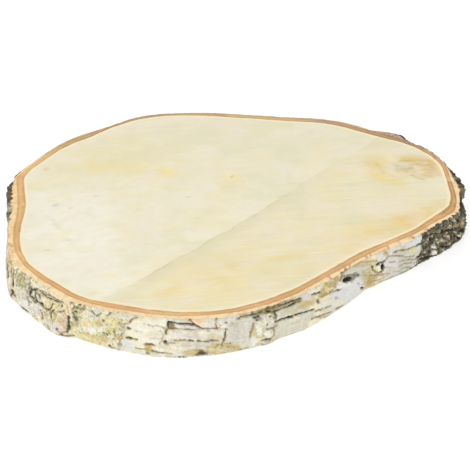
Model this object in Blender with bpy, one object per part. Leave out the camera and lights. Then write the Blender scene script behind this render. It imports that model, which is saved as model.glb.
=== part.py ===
"""Flat slice sawn across a trunk, with the bark left on its edge.

One solid that grew as one piece. Metres, +Z up, standing on its sawn underside:
+X runs along its longest extent and the origin is at the bottom centre of its box.
"""

import math
import random

import bmesh
import bpy

# ---- driving dimensions (metres, unless a name says mm) ----
THICKNESS = 0.030  # between the two sawn faces
COLUMNS = 200  # points around the edge
ARRIS = 0.0012  # how far the bark rounds in at the two sawn edges
ARRIS_DEPTH = 0.0022  # and over what height
BELLY = 0.0005  # how far the edge bulges at mid height
FLARE_MEAN = 0.0008  # the lower edge stands out by this much on average
FLARE_SWING = 0.0020  # and by this much more on the flared side
FLARE_SIDE_DEG = 218.0  # direction of the flared side
LUMP = 0.0009  # broad lumps of the bark
FURROW = 0.0010  # depth of the upright furrows in the old bark
FURROWS = 26
SEED = 41

# Outline of the bark at the upper edge, in mm, counter-clockwise seen from above.
OUTLINE_MM = (
    # the rounded front
    (-33, -145),
    (0, -141),
    (28, -130),
    # the long, nearly straight front right side, with its slight hollow
    (62, -104),
    (90, -78),
    (127, -55),
    (160, -22),
    # the narrow right end
    (170, 0),
    (172, 25),
    (171, 50),
    (156, 83),
    # a bump in the bark behind the right end
    (140, 103),
    (110, 117),
    # the back
    (90, 127),
    (52, 136),
    (0, 143),
    (-38, 146),
    (-78, 140),
    (-97, 132),
    (-132, 103),
    (-150, 86),
    (-166, 54),
    # the left end, with its shallow hollow
    (-176, 28),
    (-175, 12),
    (-169, -23),
    (-161, -64),
    # the blunt front left shoulder
    (-153, -87),
    (-141, -103),
    (-114, -122),
    (-72, -138),
)


def closed_curve(points, t):
    """A point at t of a closed centripetal Catmull-Rom curve, one unit of t per point.

    The knots follow the square root of the distance between points, so that a short
    stretch beside a long one makes no kink."""
    n = len(points)
    i = int(math.floor(t)) % n
    p0, p1, p2, p3 = (points[(i + k) % n] for k in (-1, 0, 1, 2))
    t1 = math.sqrt(math.dist(p0, p1))
    t2 = t1 + math.sqrt(math.dist(p1, p2))
    t3 = t2 + math.sqrt(math.dist(p2, p3))
    at = t1 + (t2 - t1) * (t - math.floor(t))

    def between(a, b, ta, tb):
        f = (at - ta) / (tb - ta)
        return tuple(x + (y - x) * f for x, y in zip(a, b))

    a1, a2, a3 = (
        between(p0, p1, 0.0, t1),
        between(p1, p2, t1, t2),
        between(p2, p3, t2, t3),
    )
    b1, b2 = between(a1, a2, 0.0, t2), between(a2, a3, t1, t3)
    return between(b1, b2, t1, t2)


def even_points(points, count):
    """The same closed curve as evenly spaced points."""
    fine = [closed_curve(points, k * len(points) / 3000.0) for k in range(3001)]
    length = [0.0]
    for a, b in zip(fine, fine[1:]):
        length.append(length[-1] + math.hypot(b[0] - a[0], b[1] - a[1]))
    out, j = [], 0
    for k in range(count):
        want = length[-1] * k / count
        while length[j + 1] < want:
            j += 1
        f = (want - length[j]) / (length[j + 1] - length[j])
        a, b = fine[j], fine[j + 1]
        out.append((a[0] + (b[0] - a[0]) * f, a[1] + (b[1] - a[1]) * f))
    return out


def outward(points):
    """Unit normals of the outline, pointing away from the wood."""
    n, out = len(points), []
    for k in range(n):
        ax, ay = points[k - 1]
        bx, by = points[(k + 1) % n]
        dx, dy = bx - ax, by - ay
        size = math.hypot(dx, dy)
        out.append((dy / size, -dx / size))
    return out


def bark_waves():
    """Broad lumps: a few waves around the edge, each leaning a little with height."""
    rng = random.Random(SEED)
    return [
        (k, rng.uniform(0, math.tau), rng.uniform(-2.0, 2.0), 1.0 / math.sqrt(k / 5.0))
        for k in (5, 8, 11, 15, 19, 24, 31, 38)
    ]


def bark_furrows():
    """Upright furrows: where each is around the edge, how wide and how deep."""
    rng = random.Random(SEED + 1)
    return [
        (
            (k + rng.uniform(0.15, 0.85)) / FURROWS,
            rng.uniform(0.0022, 0.0045),
            rng.uniform(0.4, 1.0),
            rng.uniform(-0.004, 0.004),
        )
        for k in range(FURROWS)
    ]


def relief(u, z, waves, furrows):
    """How far the bark stands out of the plain outline at u around and z up."""
    rise = z / THICKNESS
    total = sum(w[3] for w in waves)
    out = (
        LUMP
        * sum(w[3] * math.sin(math.tau * w[0] * u + w[1] + w[2] * rise) for w in waves)
        / total
        * 2.0
    )
    for place, width, depth, lean in furrows:
        off = (u - place - lean * (rise - 0.5) + 0.5) % 1.0 - 0.5
        out -= FURROW * depth * math.exp(-((off / width) ** 2))
    return out


def build_slice():
    points = [(x / 1000.0, y / 1000.0) for x, y in even_points(OUTLINE_MM, COLUMNS)]
    normals = outward(points)
    waves, furrows = bark_waves(), bark_furrows()
    heights = (
        0.0,
        ARRIS_DEPTH,
        0.0075,
        0.0150,
        0.0225,
        THICKNESS - ARRIS_DEPTH,
        THICKNESS,
    )
    flare_side = math.radians(FLARE_SIDE_DEG)
    rings = []
    for z in heights:
        rise = z / THICKNESS
        ring = []
        for k, ((x, y), (nx, ny)) in enumerate(zip(points, normals)):
            side = math.cos(math.atan2(ny, nx) - flare_side)
            out = (FLARE_MEAN + FLARE_SWING * side) * (1.0 - rise)
            out += BELLY * math.sin(math.pi * rise)
            out += relief(k / COLUMNS, z, waves, furrows)
            if z in (0.0, THICKNESS):
                out -= ARRIS
            ring.append([x + nx * out, y + ny * out, z])
        rings.append(ring)

    # the origin goes to the bottom centre of the box
    xs = [p[0] for ring in rings for p in ring]
    ys = [p[1] for ring in rings for p in ring]
    mid = ((min(xs) + max(xs)) / 2, (min(ys) + max(ys)) / 2)

    bm = bmesh.new()
    verts = [
        [bm.verts.new((p[0] - mid[0], p[1] - mid[1], p[2])) for p in ring]
        for ring in rings
    ]
    for low, high in zip(verts, verts[1:]):
        for k in range(COLUMNS):
            j = (k + 1) % COLUMNS
            bm.faces.new((low[k], low[j], high[j], high[k]))
    # the two sawn faces are flat
    bm.faces.new(verts[-1])
    bm.faces.new(list(reversed(verts[0])))
    bmesh.ops.recalc_face_normals(bm, faces=bm.faces)
    mesh = bpy.data.meshes.new("wood_slice")
    bm.to_mesh(mesh)
    bm.free()
    mesh.shade_smooth()
    mesh.set_sharp_from_angle(angle=math.radians(35))
    obj = bpy.data.objects.new("wood_slice", mesh)
    bpy.context.scene.collection.objects.link(obj)
    return obj


def wood_material():
    mat = bpy.data.materials.new("sanded_wood_with_bark")
    mat.use_nodes = True
    shader = mat.node_tree.nodes["Principled BSDF"]
    shader.inputs["Base Color"].default_value = (0.86, 0.77, 0.56, 1.0)
    shader.inputs["Roughness"].default_value = 0.7
    shader.inputs["Metallic"].default_value = 0.0
    return mat


def main():
    for obj in list(bpy.data.objects):
        bpy.data.objects.remove(obj, do_unlink=True)
    wood_slice = build_slice()
    wood_slice.data.materials.append(wood_material())


main()
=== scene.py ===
import math

import bpy
import numpy as np
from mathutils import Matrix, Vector, kdtree
from mathutils.geometry import delaunay_2d_cdt


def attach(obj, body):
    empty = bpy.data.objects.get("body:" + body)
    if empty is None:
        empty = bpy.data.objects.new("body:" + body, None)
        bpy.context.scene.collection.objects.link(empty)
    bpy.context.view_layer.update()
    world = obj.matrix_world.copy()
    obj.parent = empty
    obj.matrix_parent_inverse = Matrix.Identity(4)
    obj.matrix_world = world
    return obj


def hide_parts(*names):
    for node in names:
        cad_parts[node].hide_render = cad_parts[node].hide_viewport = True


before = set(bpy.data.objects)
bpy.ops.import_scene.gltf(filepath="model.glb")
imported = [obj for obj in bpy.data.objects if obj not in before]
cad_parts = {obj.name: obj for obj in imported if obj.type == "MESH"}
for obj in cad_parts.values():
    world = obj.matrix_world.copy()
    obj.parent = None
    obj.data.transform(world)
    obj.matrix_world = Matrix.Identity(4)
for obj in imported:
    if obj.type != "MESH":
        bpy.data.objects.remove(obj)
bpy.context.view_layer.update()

# ---------------------------------------------------------------------------
# Camera: the photograph's viewing angle, a view from 34 degrees above
# ---------------------------------------------------------------------------
PHOTO = 470.0  # the frame's side, in pixels
LENS = 68.94
FOCAL = LENS / 36.0 * PHOTO
ELEVATION = math.radians(34.0)
DISTANCE = 0.696
AIM = np.array([0.0020, -0.0050, 0.0])
THICK = 0.030  # between the two sawn faces

FORWARD = np.array([0.0, math.cos(ELEVATION), -math.sin(ELEVATION)])
SIDE = np.array([1.0, 0.0, 0.0])
ABOVE = np.cross(SIDE, FORWARD)
EYE = AIM - FORWARD * DISTANCE


def make_camera():
    data = bpy.data.cameras.new("view")
    data.lens = LENS
    data.sensor_width = 36.0
    data.clip_start, data.clip_end = 0.01, 20.0
    cam = bpy.data.objects.new("view", data)
    bpy.context.scene.collection.objects.link(cam)
    cam.location = Vector(EYE)
    cam.rotation_mode = "QUATERNION"
    cam.rotation_quaternion = Vector(FORWARD).to_track_quat("-Z", "Y")
    bpy.context.scene.camera = cam


make_camera()


def to_pixel(points):
    """Where world points show in the photograph's frame."""
    d = np.asarray(points, float) - EYE
    depth = d @ FORWARD
    return np.stack(
        [
            PHOTO / 2 + FOCAL * (d @ SIDE) / depth,
            PHOTO / 2 - FOCAL * (d @ ABOVE) / depth,
        ],
        -1,
    )


def on_plane(pixels, z):
    """The points of a level plane that show at these pixels."""
    px = np.atleast_2d(np.asarray(pixels, float))
    d = (
        FORWARD
        + ((px[:, 0] - PHOTO / 2) / FOCAL)[:, None] * SIDE
        - ((px[:, 1] - PHOTO / 2) / FOCAL)[:, None] * ABOVE
    )
    return EYE + ((z - EYE[2]) / d[:, 2])[:, None] * d


# ---------------------------------------------------------------------------
# Noise, the same on every run
# ---------------------------------------------------------------------------
def lattice(ix, iy, iz, seed):
    """A number from 0 to 1 for each whole-numbered point."""
    h = (
        (ix.astype(np.int64) & 0xFFFFFFFF) * 374761393
        + (iy.astype(np.int64) & 0xFFFFFFFF) * 668265263
        + (iz.astype(np.int64) & 0xFFFFFFFF) * 2147483647
        + seed * 1274126177
    ) & 0xFFFFFFFF
    h = ((h ^ (h >> 13)) * 1103515245) & 0xFFFFFFFF
    h = ((h ^ (h >> 16)) * 2246822519) & 0xFFFFFFFF
    h = h ^ (h >> 15)
    return (h & 0xFFFFFF) / float(0xFFFFFF)


def smooth_noise(p, seed):
    """Smooth noise from -1 to 1 with features about one unit across."""
    i = np.floor(p).astype(np.int64)
    f = p - i
    f = f * f * f * (f * (f * 6 - 15) + 10)
    total = 0.0
    for dx in (0, 1):
        wx = f[..., 0] if dx else 1 - f[..., 0]
        for dy in (0, 1):
            wy = f[..., 1] if dy else 1 - f[..., 1]
            for dz in (0, 1):
                wz = f[..., 2] if dz else 1 - f[..., 2]
                total = total + wx * wy * wz * lattice(
                    i[..., 0] + dx, i[..., 1] + dy, i[..., 2] + dz, seed
                )
    return total * 2 - 1


def fbm(p, seed, octaves=4, gain=0.5):
    total, size, norm = 0.0, 1.0, 0.0
    for k in range(octaves):
        total = total + size * smooth_noise(p * 2.03**k + 17.3 * k, seed + k)
        norm += size
        size *= gain
    return total / norm * 1.6


def cells(p, seed):
    """Nearest and second nearest cell distance, and a number for the nearest cell."""
    i = np.floor(p).astype(np.int64)
    first = np.full(p.shape[:-1], 9.0)
    second = np.full(p.shape[:-1], 9.0)
    name = np.zeros(p.shape[:-1])
    for dx in (-1, 0, 1):
        for dy in (-1, 0, 1):
            for dz in (-1, 0, 1):
                c = i + np.array([dx, dy, dz])
                at = (
                    c
                    + np.stack(
                        [
                            lattice(c[..., 0], c[..., 1], c[..., 2], seed + k)
                            for k in (1, 2, 3)
                        ],
                        -1,
                    )
                    * 0.9
                    + 0.05
                )
                d = np.sqrt(((p - at) ** 2).sum(-1))
                nearer = d < first
                second = np.where(nearer, first, np.minimum(second, d))
                name = np.where(
                    nearer, lattice(c[..., 0], c[..., 1], c[..., 2], seed + 9), name
                )
                first = np.where(nearer, d, first)
    return first, second, name


def step(a, b, x):
    """0 below a, 1 above b and smooth between."""
    t = np.clip((x - a) / (b - a), 0.0, 1.0)
    return t * t * (3 - 2 * t)


def linear(r, g, b):
    """A display colour, 0 to 255 each, as linear light."""
    c = np.array([r, g, b], float) / 255.0
    return np.where(c <= 0.04045, c / 12.92, ((c + 0.055) / 1.055) ** 2.4)


# ---------------------------------------------------------------------------
# Outlines, from stations seen in the photograph and put on the sawn faces
# ---------------------------------------------------------------------------
TURN = 1440  # steps around


def outline(points, soft=0.9):
    """The radius of a closed outline at even angles, its corners softened a little."""
    p = np.asarray(points, float)[:, :2]
    p = p[np.argsort(np.arctan2(p[:, 1], p[:, 0]) % math.tau)]
    fine = np.concatenate(
        [
            p[k] + (p[(k + 1) % len(p)] - p[k]) * (np.arange(24) / 24.0)[:, None]
            for k in range(len(p))
        ]
    )
    angle = np.degrees(np.arctan2(fine[:, 1], fine[:, 0])) % 360
    order = np.argsort(angle)
    angle, radius = angle[order], np.hypot(fine[:, 0], fine[:, 1])[order]
    even_angles = np.arange(TURN) * 360.0 / TURN
    even = np.interp(
        even_angles,
        np.concatenate([angle - 360, angle, angle + 360]),
        np.tile(radius, 3),
    )
    k = np.arange(-60, 61) * 360.0 / TURN
    w = np.exp(-((k / soft) ** 2) / 2)
    return np.convolve(np.concatenate([even[-60:], even, even[:60]]), w / w.sum(), "valid")


def at_angle(curve, degrees):
    x = (np.asarray(degrees, float) % 360) * TURN / 360.0
    i = np.floor(x).astype(int) % TURN
    f = x - np.floor(x)
    return curve[i] * (1 - f) + curve[(i + 1) % TURN] * f


def bearing(points):
    return np.degrees(np.arctan2(points[:, 1], points[:, 0])) % 360


# where the wood ends and the orange inner bark begins, all the way round
WOOD_EDGE = (
    (24, 178), (24.7, 190), (26.2, 205), (24.7, 214), (21.7, 223), (19.5, 239),
    (21.7, 252), (28.5, 264), (45, 276), (60, 285), (75, 294), (90, 299.5),
    (120, 304.5), (150, 309.5), (180, 312), (210, 311.5), (235, 308), (265, 300),
    (295, 288.4), (325, 272), (347.4, 259), (362.4, 251), (385, 242), (415, 229),
    (437, 214), (449, 206), (450.8, 196), (447, 182), (444, 172), (440, 163.6),
    (430, 155.4), (415, 147.2), (400, 142), (377.4, 136.5), (362.4, 132.4), (345, 127.6),
    (335, 125.3), (325, 123.4), (310, 122.2), (290, 121.3), (275, 120.3), (260, 119.2),
    (250, 118.4), (235, 117.8), (215, 116.2), (200, 115.6), (180, 115.5), (165, 115.9),
    (150, 117.6), (140, 119.2), (130, 121.6), (120, 125.1), (110, 128.4), (100, 132.8),
    (90, 137.4), (75, 142.8), (65, 147.4), (60, 149.8), (45, 160), (30, 170.5),
)
# the outer edge of the orange band, where it shows
ORANGE_EDGE = (
    (16, 177), (17, 190), (17.5, 205), (16, 218), (13, 230), (12.7, 240), (15, 252),
    (22.5, 264), (37.5, 277.5), (52.5, 286.5), (67.4, 295.5), (84, 302), (105, 307),
    (135, 312), (157, 315), (180, 316.4), (210, 315), (235, 312.5), (265, 305.5),
    (295, 295), (325, 278), (347, 266), (362.4, 257.5), (385, 246.5), (415, 234),
    (437, 221), (455, 212), (457, 200), (455.4, 193), (452, 183), (449, 174), (447.4, 169.6),
    (446, 165.5), (440, 159.6), (430, 151.6), (420, 147.6), (410, 143.8), (400, 139.0),
    (390, 135.8), (380, 133.4),
)
# the upper edge of the pale outer bark: the front, then the back, where the slice ends
# against the background
RIM_EDGE = (
    (12, 185), (10, 200), (9, 215), (7.8, 225), (6.8, 240), (7.2, 249), (9.4, 256),
    (12, 262), (15.4, 266.8), (20, 270.6), (25, 274), (30, 277.6), (36, 281.6),
    (43, 285.8), (50, 290.4), (57, 295.6), (64, 300), (75, 303.4), (90, 306.8),
    (105, 309.6), (118, 312.2), (128, 314), (150, 317.4), (165, 318.8), (186, 319.4),
    (216, 318.4), (235, 316.4), (246, 313.6), (257, 310.6), (268, 307.4), (280, 303.6),
    (302, 294.4), (318, 286), (331, 280.6), (342, 273), (350, 268), (367, 258.8),
    (385, 250.2), (400, 244.8), (415, 239.4), (424, 233), (434, 226.7), (444, 221.4),
    (450, 218.4), (455, 215.6), (459, 212.4), (460.8, 208.6), (460.5, 204), (460.3, 198.6),
    (459.7, 191.4), (457.9, 185.7), (455.7, 181.4), (452.9, 177.1), (450.2, 171.4),
)
RIM_BACK = (
    (15.6, 176), (20, 171.8), (24, 168.4), (28, 165.2), (32, 162.2), (38, 158.2),
    (45, 153.2), (54, 147), (60, 143.4), (70, 138.8), (80, 135), (90, 131.8),
    (100, 129), (110, 125.4), (120, 121.8), (130, 118.6), (140, 116), (150, 114.4),
    (160, 113.4), (180, 112.5), (200, 112.1), (220, 112.6), (240, 113.9),
    (260, 115.1), (280, 116.4), (300, 117.4), (320, 118.3), (340, 121), (350, 123.2),
    (360, 126.4), (370, 129.6), (380, 131.3), (390, 132.5), (397, 133.8),
    (401, 135.6), (404, 137.8), (408, 141), (415, 143.6), (422.5, 146.4), (430, 150),
    (437.5, 155.6), (444.6, 161.8), (448, 166.6),
)
# the lower edge of the bark, where it shows
FOOT_EDGE = (
    (8.6, 294), (10.4, 297.6), (16, 302.4), (27, 312.6), (42, 325.6), (54, 334),
    (60, 336.6), (67, 337.4), (75, 337.6), (90, 342.6), (108, 348.4), (127, 352.4),
    (145, 356.2), (158, 358), (166, 357.8), (172, 358.2), (181, 359.2), (188, 358),
    (195, 356.6), (210, 356.4), (235, 352.6), (254.5, 347.8), (268, 345.2),
    (275, 340.6), (304, 330.8), (320, 322.4), (328, 317.2), (343, 307.6), (359, 295.6),
    (366, 290), (383, 282), (400, 275.4), (412, 269.4), (424, 262), (436, 256.6),
    (448.4, 249), (456.4, 242.4), (463.6, 236.6),
)

R_RIM = outline(np.vstack([on_plane(RIM_EDGE, THICK), on_plane(RIM_BACK, THICK)]), 0.7)
R_WOOD = outline(on_plane(WOOD_EDGE, THICK))


def with_hidden(points, low, high, fill):
    """An outline that is measured where it shows, and filled in between two bearings."""
    hidden = np.arange(low, high, 4.0) % 360
    r = fill(hidden)
    a = np.radians(hidden)
    return np.vstack([points[:, :2], np.stack([r * np.cos(a), r * np.sin(a)], -1)])


orange_points = on_plane(ORANGE_EDGE, THICK)
R_ORANGE = outline(
    with_hidden(
        orange_points,
        54.0,
        160.0,
        lambda d: at_angle(R_WOOD, d) * 0.34 + at_angle(R_RIM, d) * 0.66,
    )
)
R_ORANGE = np.clip(R_ORANGE, R_WOOD + 0.0028, R_RIM - 0.0012)

foot_points = on_plane(FOOT_EDGE, 0.0)
foot_bearing = bearing(foot_points)
R_FOOT = outline(
    with_hidden(
        foot_points,
        foot_bearing.max() + 4 - 360,
        foot_bearing.min() - 6,
        lambda d: at_angle(R_RIM, d) + 0.0012,
    )
)

# ---------------------------------------------------------------------------
# Columns around the edge, closer together on the side that the photograph shows
# ---------------------------------------------------------------------------
deg = np.arange(TURN) * 360.0 / TURN
xy = np.stack([R_RIM * np.cos(np.radians(deg)), R_RIM * np.sin(np.radians(deg))], -1)
gap = np.hypot(*(np.roll(xy, -1, 0) - xy).T)
ARC = np.concatenate([[0.0], np.cumsum(gap)]) * 1000.0  # mm around, from angle 0
GIRTH = ARC[-1]

front = step(183, 203, deg) * (1 - step(352, 366, deg)) + (1 - step(0, 12, deg)) * 0.5
spacing = 1.02 - 0.42 * np.clip(front, 0, 1)
turns = np.concatenate([[0.0], np.cumsum(gap * 1000.0 / spacing)])
COLS = int(round(turns[-1]))
col_deg = np.interp(
    np.arange(COLS) * turns[-1] / COLS, turns, np.append(deg, 360.0)
)
col_arc = np.interp(col_deg, np.append(deg, 360.0), ARC)

mean_radius = (R_RIM + R_FOOT) / 2
xy = np.stack(
    [mean_radius * np.cos(np.radians(deg)), mean_radius * np.sin(np.radians(deg))], -1
)
tangent = np.roll(xy, -1, 0) - np.roll(xy, 1, 0)
kernel = np.exp(-((np.arange(-40, 41) / 14.0) ** 2) / 2)
kernel /= kernel.sum()
tangent = np.stack(
    [
        np.convolve(np.concatenate([t[-40:], t, t[:40]]), kernel, "valid")
        for t in tangent.T
    ],
    -1,
)
tangent /= np.linalg.norm(tangent, axis=1)[:, None]
normal_x = at_angle(tangent[:, 1], col_deg)
normal_y = at_angle(-tangent[:, 0], col_deg)
size = np.hypot(normal_x, normal_y)
NORMAL = np.stack([normal_x / size, normal_y / size, np.zeros(COLS)], -1)
COS, SIN = np.cos(np.radians(col_deg)), np.sin(np.radians(col_deg))


SWELLINGS = [
    # bearing of its middle, half width and softness in degrees, how far out and below
    # which height it is full and above which it is gone
    (float(bearing(on_plane([(463, 224)], 0.015))[0]), 4.0, 3.0, 0.0026, 0.021, 0.028),
    (float(bearing(on_plane([(8, 272)], 0.016))[0]), 7.0, 4.0, 0.0012, 0.020, 0.029),
]


def wall_base(degrees, height):
    """A point of the plain wall, height in metres."""
    up = height / THICK
    r = at_angle(R_RIM, degrees) * up + at_angle(R_FOOT, degrees) * (1 - up)
    r = r + 0.0006 * np.sin(math.pi * up)
    for mid, half, soft, out, full, gone in SWELLINGS:
        off = np.abs((degrees - mid + 180) % 360 - 180)
        r = r + out * (1 - step(half, half + soft, off)) * (1 - step(full, gone, height)) * (
            0.25 + 0.75 * step(0.0, 0.009, height)
        )
    a = np.radians(degrees)
    return np.stack([r * np.cos(a), r * np.sin(a), height + 0 * r], -1)


# a table for finding the place on the wall that shows at a pixel
look_deg, look_h = np.meshgrid(np.arange(182.0, 372.0, 0.1), np.linspace(0, THICK, 61))
look_px = to_pixel(wall_base(look_deg, look_h))
look_arc = np.interp(look_deg % 360, np.append(deg, 360.0), ARC)


def on_wall(pixels):
    """Arc length around and height, both in mm, of the wall at these pixels."""
    out = []
    for px, py in pixels:
        near = np.argmin((look_px[..., 0] - px) ** 2 + (look_px[..., 1] - py) ** 2)
        j, i = np.unravel_index(near, look_deg.shape)
        out.append((look_arc[j, i], look_h[j, i] * 1000.0))
    return np.array(out)


def arc_at(degrees):
    return float(np.interp(degrees % 360, np.append(deg, 360.0), ARC))


def arc_of_rim(pixel):
    """Arc length of the place of the upper edge nearest a pixel of the top face."""
    return arc_at(bearing(on_plane([pixel], THICK))[0])


# ---------------------------------------------------------------------------
# The wall's grid
# ---------------------------------------------------------------------------
WALL_ROWS = 41
EDGE = 0.0006


def around(a, b):
    """Signed distance from b to a around the slice, in mm."""
    return (a - b + GIRTH / 2) % GIRTH - GIRTH / 2


def ring_window(arc, start, end, soft):
    """1 between two places around, counted counter-clockwise, and 0 outside."""
    mid = start + ((end - start) % GIRTH) / 2
    half = ((end - start) % GIRTH) / 2
    return 1 - step(half - soft, half + soft, np.abs(around(arc, mid)))


rim_xyz = wall_base(col_deg, np.full(COLS, THICK)) * 1000.0

# the bark's upper edge has broken away a little here and there
rough_rim = np.zeros(COLS)
for start, end, amount in (
    (arc_at(158), arc_of_rim((8, 222)), 0.9),
    (arc_of_rim((10, 262)), arc_of_rim((120, 312)), 0.55),
    (arc_of_rim((245, 312)), arc_of_rim((345, 270)), 0.45),
    (arc_of_rim((418, 238)), arc_at(32), 1.0),
    (arc_at(60), arc_at(120), 0.5),
):
    rough_rim = np.maximum(
        rough_rim, amount * ring_window(col_arc, start, end, 5.0)
    )
chip = np.clip(fbm(rim_xyz / 3.2, 71, 3) - 0.12, 0, 1) * 2.2 * rough_rim  # mm
chip += 0.08 + 0.08 * fbm(rim_xyz / 2.0, 72, 2)
chip = np.clip(chip, 0.02, 1.6)
chip_low = np.clip(
    0.15 + 0.5 * np.clip(fbm(rim_xyz / 4.0, 73, 3), -0.2, 1), 0.0, 0.9
)

down = np.linspace(0, 1, WALL_ROWS)[:, None]
top_h = THICK - EDGE - chip[None, :] / 1000.0
low_h = EDGE + chip_low[None, :] / 1000.0
H = top_h * (1 - down) + low_h * down
DEG = np.tile(col_deg, (WALL_ROWS, 1))
S = np.tile(col_arc, (WALL_ROWS, 1))  # mm
HM = H * 1000.0  # mm
BASE = wall_base(DEG, H)
P = BASE * 1000.0  # mm, for noise
WP = to_pixel(BASE)
seen = step(
    -0.02, 0.06, ((EYE - BASE) * NORMAL[None]).sum(-1) / np.linalg.norm(EYE - BASE, axis=-1)
)

# ragged versions of the places, so that nothing drawn has a clean edge
RS = S + 0.35 * fbm(P / 1.5, 201, 2) + 0.35 * fbm(P / 5.0, 203, 2)
RH = HM + 0.32 * fbm(P / 1.5, 205, 2) + 0.30 * fbm(P / 5.0, 207, 2)
RP = WP + np.stack(
    [
        0.5 * fbm(P / 1.5, 211, 2) + 0.6 * fbm(P / 5.0, 213, 2),
        0.5 * fbm(P / 1.5, 215, 2) + 0.6 * fbm(P / 5.0, 217, 2),
    ],
    -1,
)
RQ = WP * 0.55 + RP * 0.45
RAGGED = fbm(P / 2.6, 431, 3)
RAGGED_X, RAGGED_Y = fbm(P / 2.2, 441, 3), fbm(P / 2.2, 445, 3)

TONES = {
    "white": (241, 240, 230),
    "cream": (241, 234, 208),
    "butter": (240, 228, 186),
    "lilac": (224, 219, 219),
    "blue": (220, 221, 222),
    "grey": (203, 199, 186),
    "stone": (216, 212, 196),
    "slate": (132, 130, 116),
    "olive": (150, 139, 98),
    "moss": (178, 171, 124),
    "lichen": (220, 217, 160),
    "ochre": (206, 186, 134),
    "mustard": (186, 160, 96),
    "peach": (246, 214, 172),
    "tan": (206, 178, 142),
    "pink": (228, 202, 184),
    "russet": (172, 128, 92),
    "umber": (120, 99, 70),
    "bark": (104, 98, 80),
    "dark": (80, 70, 50),
    "ink": (40, 34, 25),
}
TONES = {name: linear(*rgb) for name, rgb in TONES.items()}


def mix(a, b, w):
    w = np.clip(np.asarray(w, float), 0, 1)[..., None]
    return a * (1 - w) + b * w


def blotches(size, seed, names, cover=0.12, soft=0.22, stretch=(1, 1, 1)):
    """Patches of several tones, one over another."""
    p = P / (size * np.array(stretch))
    rgb = np.zeros(S.shape + (3,)) + TONES[names[0]]
    for k, name in enumerate(names[1:]):
        n = fbm(p * (1 + 0.33 * k) + 31.0 * k, seed + 7 * k, 4, 0.6)
        rgb = mix(rgb, TONES[name], 0.9 * step(cover, cover + soft, n))
    return rgb


# ---- kinds of bark: tone, how far it stands out in mm, and how gritty it is ----
def weather(rgb, seed, much=1.0):
    """Small stains of other tones, and fine changes of brightness."""
    a, b = fbm(P / 3.1, seed, 3, 0.6), fbm(P / 4.4 + 9.0, seed + 5, 3, 0.6)
    rgb = mix(rgb, TONES["moss"], 0.42 * much * step(0.18, 0.62, a))
    rgb = mix(rgb, TONES["tan"], 0.38 * much * step(0.22, 0.62, b))
    rgb = mix(rgb, TONES["white"], 0.5 * much * step(0.15, 0.55, -a))
    rgb = mix(rgb, TONES["slate"], 0.30 * much * step(0.30, 0.70, -b))
    return rgb * (1 + 0.05 * much * fbm(P / 1.7, seed + 9, 2))[..., None]


def papery(seed, warm=0.3):
    rgb = blotches(9.0, seed, ["cream", "white", "stone", "lilac"])
    rgb = mix(rgb, TONES["ochre"], warm * step(0.0, 0.6, fbm(P / 15.0, seed + 31)))
    fine = fbm(P / np.array([7.0, 7.0, 0.9]), seed + 37, 3)
    rgb = weather(rgb * (1 + 0.05 * fine)[..., None], seed + 50, 0.45)
    disp = 0.09 * fine + 0.30 * fbm(P / 6.0, seed + 41, 3)
    return rgb, disp, 0.25 + 0 * S


def smooth_grey(seed, tones=("stone", "lilac", "grey")):
    rgb = blotches(11.0, seed, list(tones), 0.1, 0.35)
    fine = fbm(P / np.array([6.0, 6.0, 0.8]), seed + 37, 3)
    upright = fbm(P / np.array([0.9, 0.9, 6.0]), seed + 38, 2)
    rgb = rgb * (1 + 0.035 * fine + 0.03 * upright)[..., None]
    rgb = weather(rgb, seed + 50, 0.5)
    disp = 0.06 * fine + 0.22 * fbm(P / 7.0, seed + 41, 3)
    return rgb, disp, 0.25 + 0 * S


def layered(seed):
    n = fbm(P / np.array([17.0, 17.0, 2.3]) + 0.25 * fbm(P / 5.0, seed, 2)[..., None], seed + 3, 3)
    m = fbm(P / np.array([9.0, 9.0, 3.0]), seed + 5, 3)
    rgb = mix(np.zeros(S.shape + (3,)) + TONES["stone"], TONES["lilac"], step(0.0, 0.3, n))
    rgb = mix(rgb, TONES["white"], step(-0.1, -0.35, -m) * 0.6)
    rgb = mix(rgb, TONES["ochre"], 0.5 * step(0.25, 0.5, -m))
    rgb = mix(rgb, TONES["peach"], 0.4 * step(0.3, 0.5, n * m * 3.0 + 0.1))
    shelf = np.abs(n - 0.08)
    line = (1 - step(0.015, 0.06, shelf)) * step(0.05, 0.35, m)
    rgb = weather(mix(rgb, TONES["umber"], 0.55 * line), seed + 50, 0.55)
    disp = 0.35 * step(-0.05, 0.12, n) + 0.16 * fbm(P / 4.0, seed + 9, 3) - 0.3 * line
    return rgb, disp, 0.35 + 0 * S


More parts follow.
